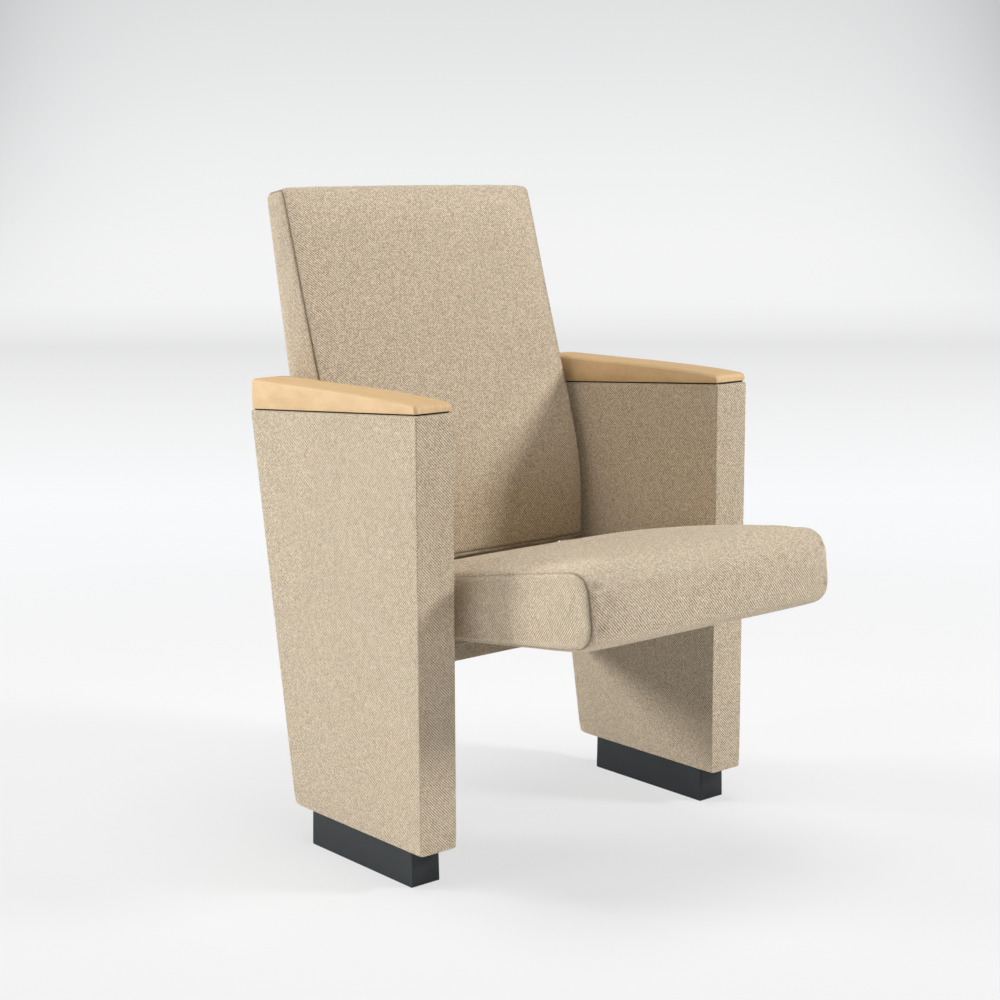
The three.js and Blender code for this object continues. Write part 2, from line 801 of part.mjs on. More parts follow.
function panSpace() {
  const high = panBottom + pan.thickness + clearance;
  return upFrom(panOutline(clearance), panBottom - clearance, high);
}

function underOutline(grow) {
  const half = seat.halfWidth - underCover.margin + grow;
  const front = -seat.front + pan.frontMargin + underCover.margin - grow;
  const outline = rectangle(-half, half, front, seat.rear - underCover.margin + grow);
  return roundCorners(outline, underCover.cornerRadius);
}

function underSpace() {
  return upFrom(underOutline(clearance), -seat.below - overrun, panBottom);
}

// The notch in the side of the cushion that holds the arm, the pin's head and the bolt heads
function hingeSpace(side) {
  const floor = pan.halfWidth - clearance;
  const outer = seat.halfWidth + overrun;
  const hub = hingeArm.hubRadius + runningGap;
  const front = -hingeArm.reach - runningGap;
  const outline = [
    [front, -seat.below - overrun],
    [seat.rear + overrun, -seat.below - overrun],
    [seat.rear + overrun, runningGap],
    [hub, runningGap],
    [hub, hub],
    [front, hub],
  ];
  const notch = acrossX(roundCorners(outline, [0, 0, 0, 0, 0, hingeArm.cornerRadius]), outer - floor);
  notch.translate((side * (outer + floor)) / 2, 0, 0);
  const depth = pivotPin.headHeight + bush.wall + clearance * 2;
  const pocket = barX(pivotPin.headRadius + runningGap, side * (floor - depth), side * (floor + overrun));
  return [notch, pocket];
}

function seatPanGeometry() {
  const sheet = upFrom(panOutline(0), panBottom, panBottom + pan.thickness);
  const holes = [];
  for (const [, side] of sideNames) {
    for (const depth of [armBolt.first, armBolt.second]) {
      const end = side * (pan.halfWidth - (armBolt.length - hingeArm.thickness) - clearance);
      const mouth = side * (pan.halfWidth + overrun);
      holes.push(barX(armBolt.radius + clearance, end, mouth, -depth, panMiddle));
    }
  }
  return cut(sheet, ...holes);
}

function underCoverGeometry() {
  return upFrom(underOutline(0), -seat.below, -seat.below + underCover.thickness);
}

// Hinge: the fixed plate and its stop
function plateScrewCentres() {
  return plateScrewPlaces.map(({ depthShare, heightShare }) => [
    depthShare > 0 ? depthShare * hingePlate.rear : depthShare * hingePlate.front,
    heightShare > 0 ? heightShare * hingePlate.above : heightShare * hingePlate.below,
  ]);
}

function hingePlateGeometry() {
  const outline = rectangle(-hingePlate.front, hingePlate.rear, -hingePlate.below, hingePlate.above);
  const plate = acrossX(roundCorners(outline, hingePlate.cornerRadius), hingePlate.thickness);
  const t = hingePlate.thickness;
  const pinHole = barX(pivotPin.radius + clearance, -t, t);
  const stopHole = barX(stop.radius + clearance, -t, t, ...stopPlace);
  const screwRadius = plateScrew.radius + clearance;
  const screwHoles = plateScrewCentres().map((place) => barX(screwRadius, -t, t, ...place));
  return cut(plate, pinHole, stopHole, ...screwHoles);
}

// Hinge: the arm on the seat pan, with a curved slot that runs round the stop
function hingeArmGeometry() {
  const t = hingeArm.thickness;
  const hub = barX(hingeArm.hubRadius, -t / 2, t / 2);
  const radius = stop.orbit + slotHalf + hingeArm.rim;
  const from = radians(stopDegrees) - (slotHalf + hingeArm.rim) / stop.orbit;
  const to = radians(stopDegrees + tipUpDegrees) + (slotHalf + hingeArm.rim) / stop.orbit;
  const sector = new THREE.Shape();
  sector.moveTo(0, 0);
  sector.lineTo(radius * Math.cos(from), radius * Math.sin(from));
  sector.absarc(0, 0, radius, from, to);
  const outline = mergeNear(sector.extractPoints(roundSteps / 2).shape);
  const low = panMiddle - hingeArm.height / 2;
  const leg = rectangle(-hingeArm.reach + clearance, 0, low, panMiddle + hingeArm.height / 2);
  const plate = join(
    hub,
    acrossX(outline, t),
    acrossX(roundCorners(leg, [hingeArm.cornerRadius, 0, 0, hingeArm.cornerRadius]), t),
  );
  const deep = t + overrun;
  const holes = [armSlot(deep), barX(pivotPin.radius + bush.wall + clearance * 2, -deep, deep)];
  for (const depth of [armBolt.first, armBolt.second]) {
    holes.push(barX(armBolt.radius + clearance, -deep, deep, -depth, panMiddle));
  }
  return cut(plate, ...holes);
}

function armSlot(deep) {
  const spare = stop.endGap / stop.orbit;
  const from = radians(stopDegrees) - spare;
  const to = radians(stopDegrees + tipUpDegrees) + spare;
  const slot = new THREE.Shape();
  slot.absarc(0, 0, stop.orbit + slotHalf, from, to);
  slot.absarc(stop.orbit * Math.cos(to), stop.orbit * Math.sin(to), slotHalf, to, to + Math.PI);
  slot.absarc(0, 0, stop.orbit - slotHalf, to, from, true);
  const start = [stop.orbit * Math.cos(from), stop.orbit * Math.sin(from)];
  slot.absarc(...start, slotHalf, from + Math.PI, from + 2 * Math.PI);
  const points = mergeNear(slot.extractPoints(roundSteps / 2).shape);
  return acrossX(points, deep * 2);
}

function mergeNear(points) {
  return points.filter((point, i) => point.distanceTo(points.at(i - 1)) > mergeDistance);
}

function stopPinGeometry(side) {
  return barX(stop.radius, side * (armInner + runningGap), side * plateOuter, ...stopPlace);
}

function stopSleeveGeometry(side) {
  const inner = armInner + runningGap;
  const ring = ringX(stop.radius + clearance, sleeveRadius, side * inner, side * (armOuter + runningGap));
  return ring.translate(0, ...stopPlace);
}

function pivotPinGeometry(side) {
  const shoulder = armInner - bush.wall - clearance;
  const pin = turnedX([
    [shoulder - pivotPin.headHeight, pivotPin.headRadius],
    [shoulder, pivotPin.headRadius],
    [shoulder, pivotPin.radius],
    [innerFace + pivotPin.beyondPanel, pivotPin.radius],
  ]);
  return side > 0 ? pin : pin.rotateZ(Math.PI);
}

function bushGeometry(side) {
  const inner = pivotPin.radius + runningFit;
  const outer = pivotPin.radius + bush.wall;
  const from = armInner - bush.wall;
  const sleeve = barX(outer, side * from, side * (bushFlangeFace - bush.flange / 2));
  const flange = barX(bush.flangeRadius, side * (bushFlangeFace - bush.flange), side * bushFlangeFace);
  const bore = barX(inner, side * (from - overrun), side * (bushFlangeFace + overrun));
  return cut(join(sleeve, flange), bore);
}

// Direction of a straight leg that leaves the coil clockwise and passes a round peg
function legDirection(peg, pegRadius, inwards) {
  const distance = Math.hypot(...peg);
  const swing = Math.asin((pegRadius - spring.meanRadius) / distance);
  const bearing = Math.atan2(peg[1], peg[0]);
  const angle = inwards ? bearing + Math.PI - swing : bearing + swing;
  return new THREE.Vector2(Math.cos(angle), Math.sin(angle));
}

// Points of the spring's wire: a leg under a plate screw's head, the coil, a leg under an arm bolt's head
function springPoints(side) {
  const half = spring.wire / 2 + clearance;
  const platePeg = plateScrewCentres()[1];
  const armPeg = [-armBolt.first, panMiddle];
  const inwards = legDirection(platePeg, plateScrew.headRadius + half, true);
  const outwards = legDirection(armPeg, armBolt.headRadius + half, false);
  const startAngle = Math.atan2(inwards.x, -inwards.y);
  const endAngle = Math.atan2(outwards.x, -outwards.y);
  const extra = THREE.MathUtils.euclideanModulo(startAngle - endAngle, 2 * Math.PI);
  const sweep = extra + 2 * Math.PI * spring.wholeTurns;
  const firstX = bushFlangeFace + clearance + spring.wire / 2;
  const lastX = firstX + (spring.pitch * sweep) / (2 * Math.PI);
  const at = (angle) => {
    const direction = new THREE.Vector2(Math.cos(angle), Math.sin(angle));
    return direction.multiplyScalar(spring.meanRadius);
  };
  const place = (x, flat) => new THREE.Vector3(side * x, flat.x, flat.y);
  const legLength = (peg) => {
    const reach = Math.sqrt(Math.hypot(...peg) ** 2 - spring.meanRadius ** 2);
    return reach + spring.legOverhang;
  };
  const points = [place(lastX, at(startAngle).addScaledVector(inwards, -legLength(platePeg)))];
  const steps = Math.round((sweep / (2 * Math.PI)) * spring.stepsPerTurn);
  for (let k = 0; k <= steps; k += 1) {
    const share = k / steps;
    points.push(place(lastX + (firstX - lastX) * share, at(startAngle - sweep * share)));
  }
  points.push(place(firstX, at(endAngle).addScaledVector(outwards, legLength(armPeg))));
  return points;
}

// A closed tube of few sides along a list of points
function wireGeometry(points, radius, sides) {
  const tangents = points.map((point, i) => {
    const before = points[Math.max(i - 1, 0)];
    const after = points[Math.min(i + 1, points.length - 1)];
    return after.clone().sub(before).normalize();
  });
  const places = [];
  let across = new THREE.Vector3().crossVectors(tangents[0], axisX).normalize();
  points.forEach((point, i) => {
    across = across.clone().addScaledVector(tangents[i], -across.dot(tangents[i])).normalize();
    const other = new THREE.Vector3().crossVectors(tangents[i], across);
    for (let k = 0; k < sides; k += 1) {
      const a = (2 * Math.PI * k) / sides;
      const rim = across.clone().multiplyScalar(Math.cos(a)).addScaledVector(other, Math.sin(a));
      places.push(...point.clone().addScaledVector(rim, radius).toArray());
    }
  });
  const faces = [];
  for (let s = 0; s + 1 < points.length; s += 1) {
    for (let k = 0; k < sides; k += 1) {
      const a = s * sides + k;
      const b = s * sides + ((k + 1) % sides);
      faces.push(a, b, a + sides, b, b + sides, a + sides);
    }
  }
  const last = (points.length - 1) * sides;
  for (let k = 1; k + 1 < sides; k += 1) faces.push(0, k + 1, k, last, last + k, last + k + 1);
  const geometry = new THREE.BufferGeometry();
  geometry.setAttribute('position', new THREE.Float32BufferAttribute(places, 3));
  geometry.setIndex(faces);
  return geometry;
}

// Least distance between the wire's surface and itself, from half a turn on, on points of its path
function leastSelfGap(points) {
  let least = Infinity;
  const dense = new THREE.CatmullRomCurve3(points).getPoints(points.length * gapSamples);
  const halfTurn = (spring.stepsPerTurn * gapSamples) / 2;
  dense.forEach((point, i) => {
    for (const other of dense.slice(i + halfTurn)) least = Math.min(least, point.distanceTo(other));
  });
  return least - spring.wire;
}

// Assembly
const root = new THREE.Group();
const frame = new THREE.Group();
const backGroup = new THREE.Group();
const seatGroup = new THREE.Group();
const fixedHinge = new THREE.Group();
backGroup.position.set(0, backFoot[0], backFoot[1]);
backGroup.rotation.x = -radians(recline.degrees);
seatGroup.position.set(0, pivot.depth, pivot.height);
seatGroup.rotation.x = -radians(tiltDegrees);
fixedHinge.position.copy(seatGroup.position);
fixedHinge.rotation.copy(seatGroup.rotation);
root.add(frame, backGroup, seatGroup, fixedHinge);

function add(group, name, geometry, material, x = 0, y = 0, z = 0) {
  const mesh = new THREE.Mesh(geometry, material);
  mesh.name = name;
  mesh.position.set(x, y, z);
  group.add(mesh);
  return mesh;
}

function addArmPanel(name, side) {
  const x = side * panelCentre;
  add(frame, `${name}_plinth_foot`, footGeometry(), darkSteel, x);
  add(frame, `${name}_upright`, uprightGeometry(side), darkSteel, x);
  add(frame, `${name}_panel_core`, coreGeometry(side), ply, x);
  add(frame, `${name}_panel_cover`, coverGeometry(side), fabric, x);
  add(frame, `${name}_armrest_spacer`, spacerGeometry(), nylon, x);
  add(frame, `${name}_armrest`, armrestGeometry(), wood, x);
  for (const [end, y] of studPlaces()) {
    add(frame, `${name}_armrest_stud_${end}`, studGeometry(y), zinc, x);
  }
}

// A screw placed with its head's seat on a face and its shank towards the outside of the chair
function addSideScrew(group, name, side, size, face, depth, height) {
  const mesh = add(group, name, screw(size), zinc, side * face, depth, height);
  if (side < 0) mesh.rotation.z = Math.PI;
}

function addHinge(name, side) {
  const plateX = side * (plateInner + hingePlate.thickness / 2);
  add(fixedHinge, `${name}_hinge_plate`, hingePlateGeometry(), zinc, plateX);
  plateScrewCentres().forEach(([v, w], i) => {
    const label = `${name}_hinge_plate_screw_${plateScrewPlaces[i].name}`;
    addSideScrew(fixedHinge, label, side, plateScrew, plateInner - clearance, v, w);
  });
  add(fixedHinge, `${name}_pivot_pin`, pivotPinGeometry(side), zinc);
  add(fixedHinge, `${name}_stop_pin`, stopPinGeometry(side), zinc);
  add(fixedHinge, `${name}_stop_sleeve`, stopSleeveGeometry(side), rubber);
  const points = springPoints(side);
  const wire = wireGeometry(points, spring.wire / 2, spring.sides);
  add(fixedHinge, `${name}_counterbalance_spring`, wire, darkSteel);
  if (side > 0) console.log(`least gap in the spring ${leastSelfGap(points).toFixed(2)} mm`);
  const armX = side * (armInner + hingeArm.thickness / 2);
  add(seatGroup, `${name}_hinge_arm`, hingeArmGeometry(), zinc, armX);
  add(seatGroup, `${name}_pivot_bush`, bushGeometry(side), nylon);
  for (const [end, depth] of [['rear', armBolt.first], ['front', armBolt.second]]) {
    const label = `${name}_hinge_arm_bolt_${end}`;
    const x = side * (armOuter + clearance);
    const mesh = add(seatGroup, label, screw(armBolt), zinc, x, -depth, panMiddle);
    if (side > 0) mesh.rotation.z = Math.PI;
  }
}

function addTieBeam() {
  add(frame, 'tie_beam', beamGeometry(), darkSteel);
  for (const [name, side] of sideNames) {
    beamBoltHeights().forEach((height, i) => {
      const label = `${name}_tie_beam_bolt_${['lower', 'upper'][i]}`;
      const face = plateOuter - beam.flange - clearance;
      addSideScrew(frame, label, side, beamBolt, face, beamBoltDepth, height);
    });
  }
}

function addBack() {
  add(backGroup, 'back_cushion', backCushionGeometry(), fabric);
  add(backGroup, 'back_board', backBoardGeometry(), ply);
  add(backGroup, 'back_rear_panel', backPanelGeometry(), fabric);
  for (const [name, side] of sideNames) {
    add(backGroup, `${name}_back_bracket`, bracketGeometry(side), darkSteel);
    bracketSidePlaces().forEach(([y, z], i) => {
      const label = `${name}_back_bracket_screw_${['lower', 'upper'][i]}`;
      const face = plateOuter - bracket.thickness - clearance;
      addSideScrew(backGroup, label, side, bracketScrew, face, y, z);
    });
    const face = boardFront() - 2 * clearance - bracket.thickness;
    bracketHeights().forEach((z, i) => {
      const label = `${name}_back_board_screw_${['lower', 'upper'][i]}`;
      const x = side * (plateOuter - bracketScrew.boardSetback);
      add(backGroup, label, screw(bracketScrew), zinc, x, face, z).rotation.z = Math.PI / 2;
    });
  }
}

function addSeat() {
  add(seatGroup, 'seat_cushion', seatCushionGeometry(), fabric);
  add(seatGroup, 'seat_pan', seatPanGeometry(), ply);
  add(seatGroup, 'seat_under_cover', underCoverGeometry(), fabric);
}

for (const [name, side] of sideNames) {
  addArmPanel(name, side);
  addHinge(name, side);
}
addTieBeam();
addBack();
addSeat();

// The chair stands centred over the origin, measured from the seat's nose to the back's top edge
root.updateMatrixWorld(true);
const extent = new THREE.Box3().setFromObject(root, true);
root.position.y = -(extent.min.y + extent.max.y) / 2;

export default root;
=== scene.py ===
"""Looks of the tip up auditorium seat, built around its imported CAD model. Metres, +Z up, front at -Y."""

import json
import math

import bmesh
import bpy
from mathutils import Matrix, Vector


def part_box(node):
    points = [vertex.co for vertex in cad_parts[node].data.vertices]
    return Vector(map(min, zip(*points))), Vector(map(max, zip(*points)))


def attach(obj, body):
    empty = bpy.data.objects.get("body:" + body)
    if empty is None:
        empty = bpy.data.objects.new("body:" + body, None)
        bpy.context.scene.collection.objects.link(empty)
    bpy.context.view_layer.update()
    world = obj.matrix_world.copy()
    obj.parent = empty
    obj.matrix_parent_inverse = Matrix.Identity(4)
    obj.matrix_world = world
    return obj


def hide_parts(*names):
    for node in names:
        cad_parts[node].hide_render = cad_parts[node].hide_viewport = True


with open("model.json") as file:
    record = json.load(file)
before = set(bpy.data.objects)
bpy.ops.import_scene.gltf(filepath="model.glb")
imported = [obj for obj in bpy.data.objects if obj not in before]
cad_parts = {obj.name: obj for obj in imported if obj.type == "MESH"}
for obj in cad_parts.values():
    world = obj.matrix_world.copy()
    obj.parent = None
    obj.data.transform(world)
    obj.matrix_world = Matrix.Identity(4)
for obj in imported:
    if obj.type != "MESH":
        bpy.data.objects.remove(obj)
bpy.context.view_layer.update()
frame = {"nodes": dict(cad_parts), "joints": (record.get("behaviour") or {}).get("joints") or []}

SIDES = ("left", "right")
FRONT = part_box("left_panel_cover")[0].y  # front face of the arm panels
TINY = 1e-9  # below this, two places are the same
hinge = Vector(frame["joints"][0]["pos_m"])


# ---------------------------------------------------------------- camera

LENS = 69.7016
SENSOR = 36.0
YAW = -0.7024707
PITCH = 0.1686625
ROLL = -0.0034189
CAMERA_PLACE = (-1.75784, -1.88291, 0.92293)  # from the floor under the middle of the panels' front faces


def photo_camera():
    back = Vector((math.sin(YAW) * math.cos(PITCH), -math.cos(YAW) * math.cos(PITCH), math.sin(PITCH)))
    right = Vector((math.cos(YAW), math.sin(YAW), 0))
    up = back.cross(right)
    turned_right = right * math.cos(ROLL) + up * math.sin(ROLL)
    turned_up = up * math.cos(ROLL) - right * math.sin(ROLL)
    data = bpy.data.cameras.new("photo_camera")
    data.lens = LENS
    data.sensor_width = SENSOR
    data.clip_end = 100
    camera = bpy.data.objects.new("photo_camera", data)
    bpy.context.scene.collection.objects.link(camera)
    turn = Matrix((turned_right, turned_up, back)).transposed().to_4x4()
    camera.matrix_world = Matrix.Translation(Vector(CAMERA_PLACE) + Vector((0, FRONT, 0))) @ turn
    bpy.context.scene.camera = camera


# ---------------------------------------------------------------- finishes


# Places of the colour sockets of a Mix node
MIX_FACTOR, MIX_COLOURS, MIX_RESULT = 0, (6, 7), 2


class Flow:
    """One output of a finish's node. Sums and products of flows add Math nodes."""

    def __init__(self, finish, socket):
        self.finish = finish
        self.socket = socket

    def _math(self, operation, first, second):
        return self.finish.add("ShaderNodeMath", {"operation": operation}, {0: first, 1: second})[0]

    def __add__(self, other):
        return self._math("ADD", self, other)

    __radd__ = __add__

    def __sub__(self, other):
        return self._math("SUBTRACT", self, other)

    def __rsub__(self, other):
        return self._math("SUBTRACT", other, self)

    def __mul__(self, other):
        return self._math("MULTIPLY", self, other)

    __rmul__ = __mul__

    def __truediv__(self, other):
        return self._math("DIVIDE", self, other)

    def __mod__(self, other):
        return self._math("FLOORED_MODULO", self, other)

    def __pow__(self, other):
        return self._math("POWER", self, other)

    def __lt__(self, other):
        return self._math("LESS_THAN", self, other)

    def whole(self):
        return self._math("FLOOR", self, 0.0)

    def rest(self):
        return self._math("FRACT", self, 0.0)


class Step:
    """One node of a finish; its outputs are read by name or place."""

    def __init__(self, finish, node):
        self.finish = finish
        self.node = node

    def __getitem__(self, key):
        return Flow(self.finish, self.node.outputs[key])


class Finish:
    """A procedural material."""

    def __init__(self, name):
        self.material = bpy.data.materials.new(name)
        self.material.use_nodes = True
        self.tree = self.material.node_tree
        self.tree.nodes.clear()

    def add(self, kind, settings=None, sockets=None):
        node = self.tree.nodes.new(kind)
        for key, value in (settings or {}).items():
            if key == "stops":
                ramp = node.color_ramp
                while len(ramp.elements) < len(value):
                    ramp.elements.new(0.5)
                for element, (place, colour) in zip(ramp.elements, value):
                    element.position = place
                    element.color = (*colour, 1)
            else:
                setattr(node, key, value)
        for key, value in (sockets or {}).items():
            socket = node.inputs[key]
            if isinstance(value, Flow):
                self.tree.links.new(value.socket, socket)
            else:
                socket.default_value = value
        return Step(self, node)

    def object_place(self, scale=(1, 1, 1), turn=(0, 0, 0)):
        place = self.add("ShaderNodeTexCoord")["Object"]
        return self.add("ShaderNodeMapping", None, {"Vector": place, "Scale": scale, "Rotation": turn})["Vector"]

    def noise(self, vector, scale, detail=2.0, roughness=0.5):
        sockets = {"Vector": vector, "Scale": scale, "Detail": detail, "Roughness": roughness}
        return self.add("ShaderNodeTexNoise", None, sockets)[0]

    def ramp(self, factor, *stops):
        return self.add("ShaderNodeValToRGB", {"stops": stops}, {0: factor})["Color"]

    def between(self, factor, first, second):
        """A colour between two, which are flows or plain colours."""
        sockets = {MIX_FACTOR: factor}
        for place, value in zip(MIX_COLOURS, (first, second)):
            sockets[place] = value if isinstance(value, Flow) else (*value, 1)
        return self.add("ShaderNodeMix", {"data_type": "RGBA"}, sockets)[MIX_RESULT]

    def bump(self, height, distance, strength=1.0):
        sockets = {"Height": height, "Distance": distance, "Strength": strength}
        return self.add("ShaderNodeBump", None, sockets)["Normal"]

    def end(self, **sockets):
        named = {key.replace("_", " "): value for key, value in sockets.items()}
        shader = self.add("ShaderNodeBsdfPrincipled", None, named)["BSDF"]
        self.add("ShaderNodeOutputMaterial", None, {"Surface": shader})
        return self.material


YARN = 0.001  # pitch of the yarns of the cloth
TWILL = 4.0  # yarns after which the weave repeats
ABOVE_ZERO = 4000.0  # keeps the numbers of the yarns positive
FIBRE_SCALE = 1500.0
CLOUD_SCALE = 11.0
# How much a float's own tone, the side that lies on top, its fibres, clouds and the painted shade of its roundness
# change the tone
TONE_SHARE, SIDE_SHARE, FIBRE_SHARE, CLOUD_SHARE, YARN_SHADE_SHARE = 0.68, 0.62, 0.1, 0.06, 0.15
MEAN_TONE = 0.385
SEAM_SHADE_SHARE = 0.78  # how far the painted shade of the seams and their hollows covers the cloth
WEAVE_DEPTH = 0.00026


def woven_cloth(name, light, dark, seam_shade_tone, contrast=1.0):
    """Melange wool cloth in a 2/2 twill, on the cloth map, whose unit is a metre."""
    finish = Finish(name)
    flat = finish.add("ShaderNodeUVMap", {"uv_map": "cloth"})["UV"]
    parts = finish.add("ShaderNodeSeparateXYZ", None, {0: flat})
    across = parts["X"] / YARN + ABOVE_ZERO
    along = parts["Y"] / YARN + ABOVE_ZERO
    warp, weft = across.whole(), along.whole()
    warp_up = (warp + weft) % TWILL < TWILL / 2
    # each float of a yarn, which covers two others, has a tone of its own
    warp_float = {0: warp, 1: ((warp + weft) / TWILL).whole()}
    weft_float = {0: ((warp + weft + TWILL / 2) / TWILL).whole(), 1: weft, 2: 7.0}
    warp_tone, weft_tone = (
        finish.add("ShaderNodeTexWhiteNoise", {"noise_dimensions": "3D"},
                   {"Vector": finish.add("ShaderNodeCombineXYZ", None, place)[0]})["Value"]
        for place in (warp_float, weft_float))
    tone = warp_up * warp_tone + (1 - warp_up) * weft_tone
    warp_round = 1 - (across.rest() * 2 - 1) ** 2.0
    weft_round = 1 - (along.rest() * 2 - 1) ** 2.0
    height = warp_up * warp_round + (1 - warp_up) * weft_round
    fibre = finish.noise(flat, FIBRE_SCALE, 0.0)
    cloud = finish.noise(finish.add("ShaderNodeTexCoord")["Object"], CLOUD_SCALE)
    yarns = (tone - 0.5) * TONE_SHARE + (warp_up - 0.5) * SIDE_SHARE + (fibre - 0.5) * FIBRE_SHARE
    # painted shade: each yarn is lighter on its crown and darker where it dips beside the next
    shade = yarns * contrast + (cloud - 0.5) * CLOUD_SHARE + height * YARN_SHADE_SHARE + MEAN_TONE
    colour = finish.between(shade, dark, light)
    # painted shade: the cloth is darkened along the seams, in the hollows beside them and at the puckers
    seam = finish.add("ShaderNodeAttribute", {"attribute_name": "seam"})["Fac"]
    colour = finish.between(seam * SEAM_SHADE_SHARE, colour, seam_shade_tone)
    normal = finish.bump(height + tone * 0.8 + fibre * 0.5, WEAVE_DEPTH, 0.8)
    return finish.end(
        Base_Color=colour, Roughness=0.93, Normal=normal, Sheen_Weight=0.08, Sheen_Roughness=0.5,
        Specular_IOR_Level=0.2)


def sewing_thread(name):
    finish = Finish(name)
    twist = finish.noise(finish.object_place(), 2600.0, 1.0)
    colour = finish.between(twist, (0.22, 0.165, 0.10), (0.42, 0.335, 0.22))
    return finish.end(Base_Color=colour, Roughness=twist * 0.2 + 0.6, Normal=finish.bump(twist, 0.00005, 0.4))


def lacquered_beech(name):
    """Beech with its grain along Y. Its top is painted darker than its sides, as painted shade, and shows more
    figure.
    """
    finish = Finish(name)
    slow = finish.noise(finish.object_place((1, 0.10, 0.3)), 60.0, 3.0)
    rings = finish.noise(finish.object_place((1, 0.045, 0.10)), 330.0, 3.0, 0.6)
    pores = finish.noise(finish.object_place((1, 0.06, 0.5)), 1100.0, 1.0)
    figure = finish.noise(finish.object_place((1, 0.16, 0.2)), 95.0, 4.0, 0.65)
    top = finish.add("ShaderNodeAttribute", {"attribute_name": "top"})["Fac"]
    from_side = top * 0.85 + 0.15
    base = finish.between(slow, (0.70, 0.485, 0.265), (0.82, 0.59, 0.335))
    base = finish.between((rings - 0.42) * 1.3, base, (0.52, 0.33, 0.16))
    base = finish.between((figure - 0.60) * 2.4 * from_side, base, (0.40, 0.24, 0.105))
    base = finish.between((pores - 0.62) * 1.2, base, (0.42, 0.26, 0.13))
    # painted shade: the top is darker than the sides
    base = finish.between(top * 0.45, base, (0.47, 0.295, 0.13))
    normal = finish.bump(rings + pores * 0.4, 0.00012, 0.25)
    return finish.end(Base_Color=base, Roughness=rings * 0.12 + 0.52, Normal=normal, Specular_IOR_Level=0.22)


def powder_coat(name, low, high):
    finish = Finish(name)
    place = finish.object_place()
    peel = finish.noise(place, 700.0, 2.0)
    wear = finish.noise(place, 30.0, 3.0)
    colour = finish.between(wear, low, high)
    return finish.end(Base_Color=colour, Roughness=wear * 0.15 + 0.38, Normal=finish.bump(peel, 0.00008, 0.5),
                      Specular_IOR_Level=0.28)


def zinc_plate(name):
    finish = Finish(name)
    place = finish.object_place()
    spangle = finish.noise(place, 160.0, 3.0)
    smear = finish.noise(finish.object_place((1, 0.1, 1)), 300.0, 2.0)
    colour = finish.between(spangle, (0.52, 0.52, 0.50), (0.66, 0.665, 0.66))
    return finish.end(Base_Color=colour, Metallic=1.0, Roughness=spangle * 0.22 + smear * 0.12 + 0.22,
                      Normal=finish.bump(smear, 0.00003, 0.3))


def moulded_black(name, tone, roughness):
    finish = Finish(name)
    grain = finish.noise(finish.object_place(), 900.0, 2.0)
    dust = finish.noise(finish.object_place(), 60.0, 3.0)
    colour = finish.between(dust, (tone, tone, tone * 1.03), (tone * 1.7, tone * 1.7, tone * 1.7))
    return finish.end(Base_Color=colour, Roughness=grain * 0.12 + roughness, Normal=finish.bump(grain, 0.00005, 0.4))


def layered_ply(name, across, turn=(0, 0, 0)):
    """Birch ply whose veneers lie across one axis: X, Y or Z, after a turn."""
    finish = Finish(name)
    place = finish.object_place((1, 1, 1), turn)
    parts = finish.add("ShaderNodeSeparateXYZ", None, {0: place})
    layer = (parts[across] / 0.0014).whole() % 2.0
    stretched = (1, 0.06, 1) if across != "Y" else (1, 1, 0.06)
    grain = finish.noise(finish.object_place(stretched, turn), 260.0, 4.0, 0.6)
    light = finish.between(grain, (0.56, 0.40, 0.24), (0.72, 0.55, 0.35))
    colour = finish.between(layer * 0.45, light, (0.36, 0.24, 0.13))
    return finish.end(Base_Color=colour, Roughness=grain * 0.2 + 0.55, Normal=finish.bump(grain, 0.0001, 0.3))


def edge_lines(half, edge, step, extra):
    """Places of grid lines from -half to half, close together within edge of both ends and at the extra places."""
    near = [0, edge * 0.14, edge * 0.36, edge * 0.66, edge]
    flat = 2 * (half - edge)
    count = max(1, round(flat / step))
    middle = [-half + edge + flat * k / count for k in range(1, count)]
    middle = [m for m in middle if all(abs(m - e) > step * 0.3 for e in extra)]
    return sorted([-half + d for d in near] + middle + list(extra) + [half - d for d in near])


def rounded(y, z, half_y, half_z, radius):
    """Moves a point of a rectangle's boundary onto the boundary of the same rectangle with round corners."""
    if radius <= 0:
        return y, z
    inner_y, inner_z = half_y - radius, half_z - radius
    qy = max(-inner_y, min(inner_y, y))
    qz = max(-inner_z, min(inner_z, z))
    a, b = y - qy, z - qz
    length = math.hypot(a, b)
    if length < TINY:
        return y, z
    return qy + radius * a / length, qz + radius * b / length


